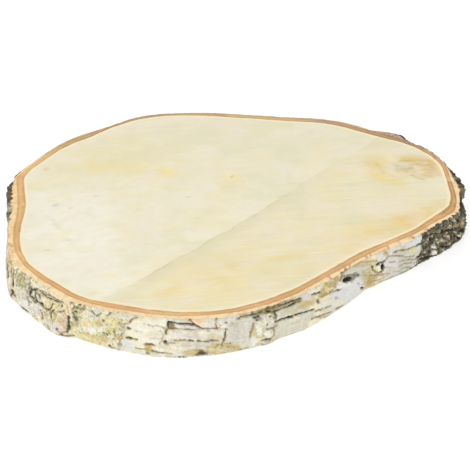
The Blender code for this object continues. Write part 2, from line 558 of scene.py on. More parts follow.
def flaky(seed, size=4.6, dark=1.0, tones=("cream", "stone", "ochre", "lilac", "moss"), stain=3.4):
    q = P / np.array([size, size, size * 0.8])
    q = q + 0.42 * np.stack([fbm(P / 3.0, seed + k, 3) for k in (1, 2, 3)], -1)
    first, second, name = cells(q, seed)
    edge = second - first
    pick = fbm(P / 9.0, seed, 2)
    rgb = blotches(stain, seed + 17, list(tones), 0.08, 0.2)
    rgb = mix(rgb, TONES["olive"], 0.7 * dark * step(0.66, 0.74, name) * step(-0.3, 0.2, pick))
    rgb = mix(rgb, TONES["white"], 0.7 * (1 - step(0.2, 0.26, name)))
    rgb = mix(rgb, TONES["peach"], 0.45 * step(0.3, 0.36, name) * (1 - step(0.42, 0.48, name)))
    gap_mask = step(-0.1, 0.35, fbm(P / 5.0, seed + 51, 2))
    groove = (1 - step(0.02, 0.15, edge)) * gap_mask
    rgb = mix(rgb, TONES["dark"], 0.8 * dark * groove)
    fringe = (1 - step(0.1, 0.34, edge)) * gap_mask
    rgb = mix(rgb, TONES["olive"], 0.30 * dark * fringe)
    grain = fbm(P / 1.5, seed + 61, 3, 0.65)
    rgb = rgb * (1 + (0.06 + 0.11 * dark) * grain)[..., None]
    disp = (name - 0.5) * 0.9 * step(0.02, 0.25, edge) - 0.5 * dark * groove + 0.22 * grain
    disp += 0.4 * fbm(P / 7.0, seed + 63, 3)
    return rgb, disp, 0.25 + 0.55 * dark + 0 * S


def scaly(seed, pale=0.12):
    q = P / np.array([2.3, 2.3, 2.1])
    q = q + 0.45 * np.stack([fbm(P / 2.0, seed + k, 3) for k in (1, 2, 3)], -1)
    first, second, name = cells(q, seed)
    edge = second - first
    rgb = blotches(2.6, seed + 17, ["bark", "slate", "umber", "dark"], 0.05, 0.25)
    rgb = mix(rgb, TONES["slate"], 0.6 * step(0.50, 0.58, name))
    rgb = mix(rgb, linear(150, 142, 126), 0.55 * step(0.76, 0.82, name))
    rgb = mix(rgb, TONES["stone"], 0.8 * step(1.0 - pale - 0.04, 1.0 - pale, name))
    groove = 1 - step(0.04, 0.24, edge)
    rgb = mix(rgb, TONES["ink"], 0.62 * groove)
    ridge = 1 - np.abs(fbm(P / np.array([3.2, 3.2, 4.2]), seed + 71, 4, 0.6))
    grain = fbm(P / 1.1, seed + 73, 3, 0.7)
    rgb = rgb * (0.80 + 0.42 * step(0.35, 1.0, ridge) + 0.42 * grain)[..., None]
    rgb = mix(rgb, TONES["olive"], 0.35 * step(0.15, 0.5, fbm(P / 3.6, seed + 77, 2)))
    rgb = mix(rgb, TONES["ink"], 0.7 * step(0.22, 0.42, fbm(P / 2.4, seed + 79, 3, 0.65)))
    disp = (name - 0.5) * 0.9 + 1.7 * (ridge - 0.72) - 0.5 * groove + 0.25 * grain
    return rgb, disp, 1.0 + 0 * S


def side_bark(seed):
    """The bark at the left end: tan and grey, with upright weathering."""
    rgb = blotches(6.0, seed, ["cream", "tan", "stone", "peach", "grey"], 0.05, 0.3, (1, 1, 1.8))
    grain = fbm(P / np.array([1.4, 1.4, 3.0]), seed + 61, 3, 0.65)
    spots = step(0.42, 0.6, fbm(P / 1.6, seed + 65, 3, 0.7))
    rgb = mix(rgb * (1 + 0.16 * grain)[..., None], TONES["dark"], 0.8 * spots)
    disp = 0.25 * grain - 0.3 * spots + 0.4 * fbm(P / 7.0, seed + 63, 3)
    return rgb, disp, 0.7 + 0 * S


def wall_arc(x, y):
    return float(on_wall([(x, y)])[0, 0])


hidden = ring_window(S, arc_at(34), arc_at(158), 8.0)
wander = 2.4 * fbm(P / 6.0, 301, 3) * (1 + 1.2 * hidden) + 9.0 * hidden * fbm(P / 15.0, 305, 3)
LEFT_TOP = arc_at(160)
ZONES = [
    # start, end, kind
    (LEFT_TOP, wall_arc(17, 290), side_bark(11)),
    (wall_arc(17, 290), wall_arc(75, 318), flaky(21, 4.4, 0.45, ("cream", "stone", "lilac", "moss", "butter"))),
    (
        wall_arc(75, 318),
        wall_arc(124, 334),
        flaky(25, 5.4, 0.4, ("butter", "cream", "lichen", "white", "ochre"), 5.2),
    ),
    (wall_arc(124, 334), wall_arc(168, 337), papery(31, 0.25)),
    (wall_arc(168, 337), wall_arc(227, 334), layered(41)),
    (wall_arc(227, 334), wall_arc(256, 328), smooth_grey(51)),
    (wall_arc(256, 328), wall_arc(277, 323), flaky(61, 3.6, 0.6, ("cream", "white", "lichen", "lilac", "moss"))),
    (wall_arc(277, 323), wall_arc(331, 298), smooth_grey(71, ("stone", "cream", "grey"))),
    (wall_arc(331, 298), wall_arc(364, 283), smooth_grey(81, ("blue", "lilac", "stone"))),
    (wall_arc(364, 283), wall_arc(386, 267), papery(91, 0.9)),
    (wall_arc(386, 267), wall_arc(420, 250), smooth_grey(101, ("blue", "grey", "stone"))),
    (wall_arc(420, 250), arc_at(30), scaly(111, 0.05)),
    (arc_at(30), arc_at(38), flaky(113, 3.6)),
    (arc_at(38), arc_at(60), papery(121, 0.4)),
    (arc_at(60), arc_at(71), smooth_grey(125, ("grey", "stone", "lilac"))),
    (arc_at(71), arc_at(84), flaky(131, 4.0, 0.8)),
    (arc_at(84), arc_at(104), layered(141)),
    (arc_at(104), arc_at(116), papery(145, 0.3)),
    (arc_at(116), arc_at(134), flaky(151, 4.4, 0.7, ("butter", "cream", "moss", "stone", "ochre"))),
    (arc_at(134), LEFT_TOP, smooth_grey(161, ("stone", "cream", "lilac"))),
]
total = np.zeros(S.shape)
tint = np.zeros(S.shape + (3,))
D = np.zeros(S.shape)  # how far the bark stands out, mm
grit = np.zeros(S.shape)
for start, end, (rgb, disp, rough) in ZONES:
    w = ring_window(S + wander, start, end, 1.6) + 0.6 * hidden * ring_window(
        S + wander, start, end, 7.0
    )
    total += w
    tint += rgb * w[..., None]
    D += disp * w
    grit += rough * w
tint /= total[..., None]
D /= total
grit /= total
D += 0.45 * fbm(P / np.array([24.0, 24.0, 30.0]), 11, 3)
line_depth = np.full(S.shape, 3.0)  # mm from the nearest crack's side, below 0 inside


# ---- drawing on the wall, at places given as pixels of the photograph ----
def strokes(pts):
    """Distance in mm to a line through places on the wall, and how far along it, 0 to 1."""
    best = np.full(S.shape, 1e9)
    along = np.zeros(S.shape)
    n = len(pts) - 1
    for k in range(n):
        (ax, ay), (bx, by) = pts[k], pts[k + 1]
        ux, uy = around(RS, ax), RH - ay
        vx, vy = around(bx, ax), by - ay
        t = np.clip((ux * vx + uy * vy) / max(vx * vx + vy * vy, 1e-9), 0, 1)
        d = np.hypot(ux - t * vx, uy - t * vy)
        near = d < best
        best = np.where(near, d, best)
        along = np.where(near, (k + t) / n, along)
    return best, along


uneven = fbm(P / 1.9, 401, 2)
worn = np.clip(0.80 + 0.75 * fbm(P / 3.4, 403, 2), 0.25, 1.0)


def scratch(tone, width, points, depth=0.6, strength=0.9):
    """A line whose width is in pixels, for bark that is seen at a slant."""
    global tint, D, line_depth
    x, y = RQ[..., 0], RQ[..., 1]
    best = np.full(S.shape, 1e9)
    for (ax, ay), (bx, by) in zip(points, points[1:]):
        ux, uy, vx, vy = x - ax, y - ay, bx - ax, by - ay
        t = np.clip((ux * vx + uy * vy) / max(vx * vx + vy * vy, 1e-9), 0, 1)
        best = np.minimum(best, np.hypot(ux - t * vx, uy - t * vy))
    half = width / 2 * (1 + 0.5 * uneven)
    tint = mix(
        tint, TONES["olive"], 0.35 * (1 - step(half, half + 1.5, best)) * seen * strength
    )
    w = (1 - step(half - 0.35, half + 0.45, best)) * seen
    tint = mix(tint, TONES[tone], w * strength)
    D = D - depth * w


def crack(tone, width, points, depth=0.5, strength=0.9, lip=0.0):
    """A thin dark line through pixels of the photograph."""
    crack_at(tone, width, on_wall(points), depth, strength, lip)


def crack_at(tone, width, places, depth=0.5, strength=0.9, lip=0.0):
    """A thin dark line, wider in its middle, with a brownish fringe."""
    global tint, D, line_depth
    d, along = strokes(places)
    half = width / 2 * (0.45 + 0.55 * np.sin(math.pi * np.clip(along, 0.08, 0.92)))
    half = half * (1 + 0.55 * uneven)
    firm = 1.0 if tone == "ink" or width > 1.7 else worn
    halo = 1 - step(0.1, 1.5, d - half)
    tint = mix(tint, TONES["olive"], 0.30 * halo * strength * firm)
    core = 1 - step(-0.3, 0.55, d - half)
    tint = mix(tint, TONES[tone], core * strength * firm)
    D = D - depth * (1 - step(-0.2, 0.7, d - half))
    if lip:
        D = D + lip * (1 - step(0.3, 2.6, d)) * step(half, half + 0.5, d)
    if tone == "ink" or (tone == "dark" and width >= 1.5):
        line_depth = np.minimum(line_depth, d - half * (0.8 if tone == "ink" else 0.35))


def spot(tone, x, y, rx, ry=None, strength=0.9, depth=0.3):
    """A small mark, its half sizes in pixels."""
    global tint, D
    ry = rx if ry is None else ry
    d = np.hypot((RP[..., 0] - x) / rx, (RP[..., 1] - y) / ry)
    w = (1 - step(0.55, 1.25, d)) * seen
    tint = mix(tint, TONES[tone], w * strength)
    D = D - depth * w


def patch(tone, x, y, rx, ry, strength=0.7, rise=0.0, turn=0.0, soft=0.5, grain=0.5):
    """A patch with a ragged edge: centre and half sizes in pixels."""
    global tint, D
    c, s = math.cos(math.radians(turn)), math.sin(math.radians(turn))
    u, v = RP[..., 0] - x, RP[..., 1] - y
    u, v = (u * c - v * s) / rx, (u * s + v * c) / ry
    d = np.hypot(u, v) + grain * 0.55 * RAGGED
    w = (1 - step(1 - soft, 1 + soft, d)) * seen
    tint = mix(tint, TONES[tone], w * strength)
    D = D + rise * (1 - step(0.9, 1.1, d)) * seen


def inside_of(corners, rough=1.0):
    """Distance in pixels to a closed line through pixels, below 0 inside it."""
    pts = np.asarray(corners, float)
    x = RP[..., 0] + rough * 1.3 * RAGGED_X
    y = RP[..., 1] + rough * 1.3 * RAGGED_Y
    best = np.full(S.shape, 1e9)
    odd = np.zeros(S.shape, bool)
    for k in range(len(pts)):
        (ax, ay), (bx, by) = pts[k], pts[(k + 1) % len(pts)]
        ux, uy, vx, vy = x - ax, y - ay, bx - ax, by - ay
        t = np.clip((ux * vx + uy * vy) / max(vx * vx + vy * vy, 1e-9), 0, 1)
        best = np.minimum(best, np.hypot(ux - t * vx, uy - t * vy))
        cross = (ay > y) != (by > y)
        at = ax + (y - ay) / (vy if vy else 1e-9) * vx
        odd ^= cross & (x < at)
    return np.where(odd, -best, best)


def area(tone, corners, strength=0.8, rise=0.0, soft=1.2, rough=1.0):
    """A patch with corners at given pixels."""
    global tint, D
    d = inside_of(corners, rough)
    w = (1 - step(-soft, soft, d)) * seen
    tint = mix(tint, TONES[tone], w * strength)
    D = D + rise * (1 - step(-0.8, 0.4, d)) * seen


def network(tone, corners, size, half, seed, strength=0.9, depth=0.4, flat=0.8, fill=None):
    """Flakes with dark lines between them; the size of a flake is in pixels."""
    global tint, D
    w = (1 - step(-1.5, 1.0, inside_of(corners))) * seen
    q = np.stack([RP[..., 0] / size, RP[..., 1] / (size * flat), 0 * S + 0.5 + seed], -1)
    q[..., 0] += 0.35 * RAGGED_X
    q[..., 1] += 0.35 * RAGGED_Y
    first, second, name = cells(q, seed)
    edge = second - first
    if fill:
        for k, kind in enumerate(fill):
            low = k / len(fill)
            tint = mix(
                tint, TONES[kind], 0.75 * w * (name >= low) * (name < low + 1 / len(fill))
            )
    thick = half * np.clip(1 + 1.3 * fbm(P / 3.0, seed + 3, 2), 0, 3)
    line = (1 - step(0.55, 1.35, edge / np.maximum(thick, 1e-3))) * w
    tint = mix(tint, TONES[tone], line * strength)
    D = D - depth * line + 0.35 * (name - 0.5) * w


# -- the left shoulder --
patch("white", 31, 305, 13, 9, 0.75, 0.2)
patch("lilac", 36, 309, 7, 5, 0.5)
patch("stone", 22, 293, 7, 9, 0.6)
area("moss", [(17, 272), (24, 276), (29, 281), (27, 287), (21, 288), (16, 281)], 0.7)
area("lichen", [(19, 276), (25, 279), (25, 284), (20, 283)], 0.5)
network("olive", [(16, 271), (27, 277), (30, 283), (26, 290), (17, 288), (14, 279)], 3.4, 0.12, 811, 0.7)
network("dark", [(26, 279), (36, 283), (43, 288), (44, 300), (41, 306), (33, 303), (27, 294)], 4.0, 0.13, 813, 0.8, 0.5,
        fill=("stone", "cream", "white", "grey", "moss"))
area("butter", [(43, 297), (52, 298), (63, 304), (66, 312), (62, 322), (52, 324), (44, 314)], 0.45)
area("butter", [(50, 301), (60, 305), (62, 312), (54, 313), (48, 308)], 0.7)
network("olive", [(41, 297), (52, 299), (64, 304), (67, 312), (63, 324), (52, 326), (42, 314)], 4.2, 0.08, 817, 0.55, 0.5,
        fill=("butter", "cream", "lichen", "butter", "ochre", "stone"))
network("umber", [(48, 302), (62, 306), (63, 316), (54, 321), (47, 312)], 6.0, 0.05, 819, 0.55, 0.5)
patch("butter", 49, 304, 4, 3, 0.5)
patch("cream", 50, 317, 4, 3, 0.5)
patch("butter", 55, 306, 7, 6, 0.3)
patch("cream", 46, 301.6, 3.4, 3, 0.5)
patch("butter", 58, 311, 4, 3, 0.35)
area("peach", [(4, 240), (10, 240), (13, 254), (13.4, 266), (10, 266), (4, 258)], 0.85)
area("stone", [(4, 258), (9.6, 262), (11.4, 274), (11.2, 290), (5, 290)], 0.7)
patch("cream", 9.6, 276, 1.6, 9, 0.7)
scratch("umber", 0.9, [(6.6, 250), (7.0, 256), (7.2, 262)], 0.3, 0.8)
scratch("dark", 1.0, [(7.4, 264), (7.6, 268), (8.2, 272), (8.2, 278)], 0.4, 0.85)
scratch("ink", 1.7, [(10.6, 262), (11.6, 265.4), (12.8, 268.4), (13.2, 271.4)], 0.9, 0.95)
scratch("ink", 1.6, [(13.2, 271.4), (12.6, 275), (13.0, 280), (12.5, 285.4)], 1.2, 0.95)
scratch("dark", 1.0, [(11.0, 268), (10.6, 272), (11.2, 277)], 0.6, 0.8)
spot("ink", 12.2, 291.6, 1.9, 2.3, 0.95, 0.9)
scratch("ink", 1.3, [(12.2, 292), (10.8, 295.6)], 0.6)
scratch("dark", 1.1, [(12.6, 292.6), (15, 296.4)], 0.5)
scratch("ink", 1.5, [(28, 279.6), (29.4, 284)], 0.8, 0.9)
scratch("ink", 1.7, [(30.4, 287.6), (32.4, 290), (34.6, 290.8), (37.4, 289.2)], 0.9)
scratch("ink", 1.6, [(31, 290), (29.8, 293.6), (31.2, 297), (34, 299.6)], 0.9)
scratch("dark", 1.2, [(34.6, 291), (35.2, 296.4), (36.6, 300.4)], 0.6, 0.85)
scratch("ink", 1.6, [(33.6, 299.4), (37, 301.6), (41, 303.2), (43.4, 305)], 0.8)
scratch("dark", 1.2, [(36.6, 293), (39.6, 294.4), (40.4, 298)], 0.6, 0.85)
scratch("dark", 1.0, [(27.6, 297), (29.4, 301), (31, 302.6)], 0.6, 0.8)
area("cream", [(26, 278), (38, 284), (50, 290), (62, 297), (68, 301), (66, 303), (60, 300), (48, 294), (37, 288.6), (26, 282)], 0.8)
area("peach", [(40, 289), (46, 292), (58, 298), (66, 302), (64, 303.6), (52, 298.4), (42, 293), (39, 291)], 0.7, 0.2)
scratch("dark", 1.0, [(40, 290.2), (45, 292.2), (52.4, 296), (60, 300.2), (64, 302.8)], 0.4, 0.8)
scratch("ink", 1.3, [(42.4, 293.4), (48, 297), (54, 299.8), (61, 303)], 0.8, 0.9)
scratch("dark", 1.1, [(43.4, 306), (48, 309.6)], 0.6, 0.85)
scratch("dark", 1.0, [(53, 303), (51.6, 308)], 0.6, 0.85)
scratch("dark", 1.2, [(52.4, 311), (50.6, 314), (51, 318.4)], 0.6, 0.85)
spot("dark", 49.6, 309.5, 1.7, 1.0)
spot("dark", 62.4, 306.4, 1.3)
scratch("dark", 1.0, [(58, 311), (61, 312.4), (63.6, 311.2)], 0.5, 0.85)
scratch("dark", 1.2, [(20.6, 305.4), (26, 309.6), (29, 311.4)], 0.4, 0.85)
scratch("umber", 0.9, [(24, 297), (28, 300.4), (29.6, 305)], 0.4, 0.6)
spot("dark", 42.6, 318.5, 1.7, 1.5)
scratch("umber", 1.0, [(40.6, 310), (42.6, 317)], 0.4, 0.8)
patch("lilac", 56.4, 326, 5, 4.4, 0.85)
spot("dark", 57, 328.5, 1.4)
area("pink", [(61, 315), (66, 312), (68, 320), (66.4, 334), (61, 333)], 0.75)
patch("tan", 65.4, 325, 1.6, 7, 0.5)
scratch("umber", 1.2, [(62.4, 331.4), (67.4, 330.8)], 0.4)
scratch("dark", 2.2, [(68.2, 316.4), (68.6, 319), (68.4, 322.4)], 0.5, 0.97)
scratch("dark", 1.9, [(68.5, 323), (68.7, 326), (68.4, 331)], 0.4, 0.95)
scratch("dark", 2.9, [(69, 325.4), (69, 328.6)], 0.3, 0.95)
scratch("ink", 1.0, [(67.6, 326), (67.6, 329), (68, 331)], 0.3, 0.8)
area("peach", [(63.6, 301), (70, 303), (73.6, 306), (72.4, 313), (67.6, 315.4), (65, 309)], 0.8, 0.25)
scratch("tan", 0.9, [(66, 303), (68, 308), (69, 313)], 0.2, 0.6)
scratch("cream", 1.2, [(68.4, 303.4), (70.4, 308), (70.6, 313)], -0.1, 0.7)
patch("butter", 65, 307, 1.6, 4, 0.5)
scratch("dark", 1.1, [(74.4, 306), (73.2, 309.4)], 0.6, 0.9)
scratch("dark", 1.2, [(72.6, 312.4), (73.8, 315), (73.4, 318.6)], 0.7, 0.9)
area("moss", [(73, 309), (79, 310), (81, 318), (77.4, 327), (73.6, 327), (72.6, 318)], 0.5)
patch("slate", 75.4, 319, 1.6, 5, 0.4)
spot("dark", 77.4, 307.6, 2.2, 1.6)
spot("ink", 75.6, 311.4, 1.5, 1.5)
spot("olive", 80.6, 309, 1.6, 1.3)
spot("umber", 79.6, 305.6, 2.0, 1.4)
spot("umber", 75.4, 319, 1.6, 2.4)
area("butter", [(72, 327), (79, 326), (80, 334), (72, 334)], 0.6)
scratch("umber", 1.1, [(59.6, 334.6), (64, 336), (70, 335.6), (75, 335)], 0.3, 0.85)
spot("umber", 61.6, 333.6, 2.2, 1.8)
scratch("cream", 1.1, [(62, 332.6), (66, 333.4), (70, 333)], 0.0, 0.7)
spot("olive", 48.4, 288.8, 1.2)
spot("olive", 71, 303.2, 1.1)

# -- front left --
network("olive", [(79, 306), (104, 311), (128, 316), (126, 350), (100, 345), (79, 336)], 7.5, 0.045, 831, 0.6, 0.3, 0.7,
        fill=("butter", "cream", "white", "lichen", "cream", "ochre"))
area("butter", [(76, 333), (92, 336), (106, 341), (104, 349), (88, 344), (74, 339)], 0.6)
patch("ochre", 86, 341, 9, 1.8, 0.5, 0, -14)
patch("white", 97, 329, 6, 4, 0.5)
network("dark", [(100, 322), (126, 322), (124, 342), (104, 340)], 4.6, 0.05, 833, 0.6, 0.3)
area("white", [(93, 309), (105, 312), (104, 319), (94, 318)], 0.5)
patch("butter", 90, 324, 8, 5, 0.5)
crack("olive", 1.6, [(77, 307.5), (80, 309), (84, 309), (85, 305)], 0.5)
patch("stone", 97, 314, 9, 5, 0.6)
scratch("umber", 1.0, [(91, 311), (94, 314), (96.6, 316)], 0.5, 0.8)
scratch("umber", 0.9, [(97.6, 315.4), (101.4, 312.6)], 0.5, 0.8)
patch("butter", 86, 323.5, 5, 4, 0.8, 0.2)
patch("ochre", 98, 323.5, 3, 4, 0.7)
spot("ink", 103, 321, 1.5, 1.4)
patch("white", 91.5, 330.5, 4, 3.2, 0.85, 0.2)
patch("lichen", 82.5, 335.5, 4, 3, 0.8)
patch("lichen", 113, 326.5, 5.5, 5.5, 0.85, 0.25)
patch("butter", 113, 326, 2.2, 2.2, 0.8)
patch("ochre", 104, 340.5, 4, 3, 0.75)
for x, y in ((104, 333.5), (109.5, 333.5), (107.5, 335), (114, 333), (121.5, 334.5)):
    spot("dark", x, y, 1.3, 1.0)
spot("umber", 120, 344.5, 2.6, 3.4, 0.7)
spot("dark", 109.5, 346, 1.7, 1.2)
spot("dark", 112, 348.5, 1.7, 1.0)
spot("dark", 118, 350, 1.7, 1.0)
area("stone", [(107, 314), (113, 312.5), (130, 314), (131, 319), (110, 319)], 0.75)
crack("dark", 0.9, [(107, 315.5), (110, 313.5), (113, 312.8)], 0.5)
crack("umber", 0.9, [(121, 324), (127, 324)])
crack("umber", 1.0, [(127.5, 328.5), (132, 328.5)])
patch("blue", 130.5, 345.4, 9.5, 5.6, 0.85)
scratch("dark", 1.5, [(126, 338), (131.4, 338.4), (137.2, 339.8)], 0.8, 0.9)
scratch("dark", 1.6, [(127.4, 337.8), (131.6, 338.2)], 0.5, 0.9)
patch("butter", 112, 321, 8, 2.4, 0.4)
patch("grey", 122, 330, 4, 3.4, 0.5)

# -- the big papery patch --
area("cream", [(129, 319), (145, 319), (166, 320), (167, 333), (163, 345), (150, 352), (134, 350), (128, 336)], 0.55, 0.25, 1.6)
patch("ochre", 152, 334, 8, 4.5, 0.35)
patch("white", 140, 328, 9, 6, 0.75)
patch("white", 154, 330, 10, 7, 0.4)
patch("white", 146, 340, 9, 3, 0.4)
patch("white", 157, 341, 6, 3.2, 0.5)
patch("lilac", 150, 321, 8, 1.8, 0.4)
crack("umber", 1.1, [(129, 324), (131.5, 320.5), (134, 318), (138, 317)], 0.5)
scratch("dark", 1.4, [(127.6, 328.4), (130, 328.7)], 0.3, 0.9)
scratch("dark", 1.7, [(127, 337.8), (131.6, 338.2)], 0.3, 0.9)
scratch("umber", 1.1, [(131, 338.3), (137.2, 339.8)], 0.3, 0.85)
scratch("umber", 1.1, [(151.6, 351.4), (157, 352.8), (163, 353.7)], 0.3, 0.8)
crack("umber", 0.7, [(145, 323.5), (153, 325.5), (158, 325), (166, 328.5)], 0.35, 0.75)
crack("umber", 0.8, [(136, 348.5), (144, 350), (147, 351)], 0.5)
area("ochre", [(145, 344.6), (152.4, 344.6), (151.4, 352.6), (146, 354)], 0.9)
patch("mustard", 148.4, 348.4, 2.0, 3.6, 0.7)
crack("umber", 1.5, [(144.5, 345), (149, 344.6), (154.5, 346)], 0.6)
spot("umber", 147.5, 354, 2.6, 1.2)
crack("umber", 0.8, [(151, 351.5), (159, 353.5), (172, 354)], 0.4, 0.7)
crack("grey", 0.8, [(135, 330), (142, 331.5)], 0.2)
crack("grey", 0.8, [(150, 338), (161, 338.6)], 0.2)
crack("umber", 0.6, [(160, 330), (163, 335), (162, 340), (159, 345)], 0.4, 0.5)

# -- the layered bark beside it --
area("umber", [(168, 321), (174.6, 321.6), (176.4, 324.4), (175.6, 327.8), (168.4, 328)], 0.85)
patch("olive", 173.4, 325.6, 2.6, 2.0, 0.6)
scratch("ink", 1.2, [(168.2, 322.6), (167.8, 325), (168.2, 328)], 0.7, 0.9)
scratch("ink", 1.3, [(168.6, 322.2), (173, 321.8), (177.4, 323.2), (182, 323.4), (189, 323.6), (193.4, 324.6)], 0.8, 0.9)
scratch("dark", 1.0, [(168, 328.4), (173, 328.6), (177, 328)], 0.5, 0.85)
crack("umber", 0.8, [(175, 328.5), (184, 329.3), (193, 329.5), (201, 329)], 0.4, 0.8)
area("peach", [(184, 317), (206, 317), (204, 321), (202.6, 327.6), (198, 325), (192.4, 321.4), (187, 319.4)], 0.75, 0.3, 1.6, 0.5)
patch("cream", 205, 321, 2.4, 3.6, 0.5)
scratch("umber", 1.0, [(187, 319), (191.6, 321), (194.6, 323.8), (199, 326.6), (202.6, 328.4)], 0.5, 0.9)
patch("ochre", 166.4, 332, 2.6, 3.4, 0.8)
scratch("umber", 1.2, [(167.4, 329.6), (165.4, 331.4), (166.4, 333.8)], 0.5, 0.9)
patch("ochre", 163.6, 341, 2.4, 4.0, 0.5)
spot("dark", 165.4, 342.6, 2.5, 1.8, 0.85)
spot("ink", 164.5, 342.5, 1.6, 1.3)
crack("umber", 0.8, [(165, 343), (167, 345), (169, 343), (174, 343.5)], 0.4, 0.85)
crack("dark", 1.0, [(175, 340.5), (184, 340.5), (188, 341.5), (191.5, 340.5)], 0.6, 0.85)
spot("umber", 180, 357, 1.8, 0.9)
spot("umber", 184, 357, 1.8, 0.9)
area("ochre", [(183, 353), (191, 351), (200, 348.6), (201, 353), (192, 356.4), (184, 357)], 0.65)
patch("olive", 198, 350, 4, 1.6, 0.5)
patch("white", 182, 334, 9, 3.2, 0.4)
patch("lilac", 190, 336, 9, 2.2, 0.4)
patch("cream", 178, 348, 8, 4, 0.6)
patch("grey", 186, 345.5, 9, 1.5, 0.45)
patch("butter", 170, 350, 5, 2.5, 0.5)

# -- the front --
crack("umber", 0.9, [(193, 324), (200, 327), (204, 328.5), (215, 328.5)], 0.5, 0.85, 0.2)
crack("dark", 0.9, [(216.5, 317.5), (216, 321), (215, 323.5)], 0.5, 0.8)
crack("dark", 0.8, [(215.5, 324.5), (217, 329.5)], 0.5, 0.8)
patch("white", 209.6, 323, 4.5, 4.6, 0.45)
patch("tan", 212.6, 326.6, 2.2, 1.0, 0.5)
spot("umber", 207.6, 330.6, 1.1, 0.8, 0.7)
patch("stone", 213, 331, 4, 2.2, 0.5)
patch("blue", 223, 321.5, 2.2, 2.2, 0.6)
for x, y in ((226, 322.5), (232, 322), (226, 328.5), (238.5, 318.5)):
    spot("dark", x, y, 1.3, 1.0, 0.85)
crack("olive", 1.2, [(240, 317), (249, 315.5)], 0.4)
scratch("olive", 1.3, [(237, 318.2), (246, 316.4), (254, 314.4), (262, 312), (268, 309.8)], 0.3, 0.75)
scratch("ink", 1.3, [(251, 315.4), (256, 314.2), (262, 312.2)], 0.3, 0.8)
for x0, x1, y in ((189.5, 193.5, 340.5), (197.5, 200.5, 341), (203.5, 208.5, 341.5), (210.5, 218.5, 340.7)):
    scratch("dark", 1.1, [(x0, y), (x1, y + 0.2)], 0.4, 0.85)
spot("dark", 208.5, 347.5, 1.8, 1.2)
area("ochre", [(206, 346), (216, 343.6), (226, 342.4), (240, 343), (240.6, 351), (216, 355), (206, 353.6)], 0.85)
network("olive", [(208, 345), (224, 342), (241, 344), (240, 352), (214, 355)], 4.6, 0.06, 823, 0.45, 0.3)
patch("butter", 216, 350.6, 9, 2.4, 0.6)
patch("stone", 226, 350, 7, 2.0, 0.5)
patch("moss", 212, 352, 6, 1.6, 0.4)
patch("mustard", 233, 347, 5, 2.4, 0.5)
area("umber", [(199.4, 350), (202.4, 350.6), (208.4, 355), (194.4, 355.4)], 0.95)
patch("dark", 201.4, 353.6, 4.4, 1.4, 0.8)
spot("umber", 231, 343.5, 1.8, 1.2)
crack("dark", 0.9, [(240, 349.3), (249, 347)], 0.3)
area("lilac", [(229, 322), (249, 319), (250, 344), (230, 346), (228, 334)], 0.55)
patch("grey", 236, 331, 7, 8, 0.5)
patch("stone", 243, 338, 7, 7, 0.5)
patch("moss", 234, 324, 6, 2.4, 0.4)
scratch("umber", 1.3, [(225.6, 331), (224.8, 337), (223.4, 341)], 0.7, 0.9)
scratch("dark", 1.0, [(224, 339), (222.6, 343), (222.2, 345.6)], 0.5, 0.8)
network("grey", [(229, 323), (249, 320), (249, 343), (231, 345)], 4.4, 0.10, 827, 0.5, 0.15)
patch("ochre", 212, 335, 8, 2.4, 0.4)
patch("white", 202, 333, 6, 2.2, 0.6)
patch("cream", 212, 350, 3, 2, 0.4)
patch("grey", 203, 345.5, 6, 2, 0.4)

# -- the old knot and its rim --
area("stone", [(251, 316), (262, 314), (275, 318), (278, 330), (274, 344), (256, 346), (249, 336)], 0.5)
area("slate", [(252, 314.5), (260.5, 315), (261, 320.5), (256.5, 322), (252, 319)], 0.55)
for x, y, r in ((253.5, 314, 2.0), (258, 316.5, 2.0), (261, 312.8, 2.0), (255, 318, 1.8), (257, 320.5, 1.6)):
    spot("dark", x, y, r, r * 0.75, 0.9, 0.6)
spot("ink", 268.7, 311, 2.6, 1.9, 0.95, 0.9)
spot("dark", 266.5, 313, 2.0, 1.1)
spot("slate", 270.5, 316.3, 2.2, 1.3)
patch("lilac", 264, 318, 3.5, 4, 0.6)
patch("lilac", 270.5, 325, 2.4, 3.6, 0.7)
crack("umber", 1.1, [(253.4, 324), (252.4, 328), (251, 332), (250, 337)], 0.5, 0.85)
patch("ochre", 254, 333, 2.6, 6, 0.75)
patch("white", 259.5, 330, 3.2, 5.6, 0.9, 0.3)
patch("cream", 264, 323, 3.4, 4, 0.6)
patch("white", 254, 341, 3.6, 4.6, 0.75)
patch("butter", 260, 340, 2.6, 4.6, 0.55)
spot("umber", 267.4, 325.3, 1.1, 2.0, 0.85)
spot("dark", 267.3, 329.7, 1.1, 1.5, 0.85)
patch("white", 267.5, 334.5, 3.6, 3.6, 0.9, 0.35)
patch("lichen", 264.6, 328.6, 2.0, 2.6, 0.5)
crack("dark", 1.7, [(262, 339.9), (266, 339.8), (270.6, 339.4)], 0.9, 0.95)
crack("umber", 1.0, [(272.5, 329), (274.7, 332), (274.2, 336), (272, 339), (269, 341.5)], 0.6, 0.75)
crack("olive", 1.0, [(276, 326), (272.5, 328.6), (268, 328.8)], 0.4)
patch("slate", 274.8, 316, 1.2, 4.4, 0.75, -0.3, 8)
patch("slate", 263, 344, 4.6, 1.4, 0.3)
patch("butter", 272, 334, 1.8, 4.5, 0.5)
patch("stone", 268, 342, 5, 3, 0.4, 0.7)

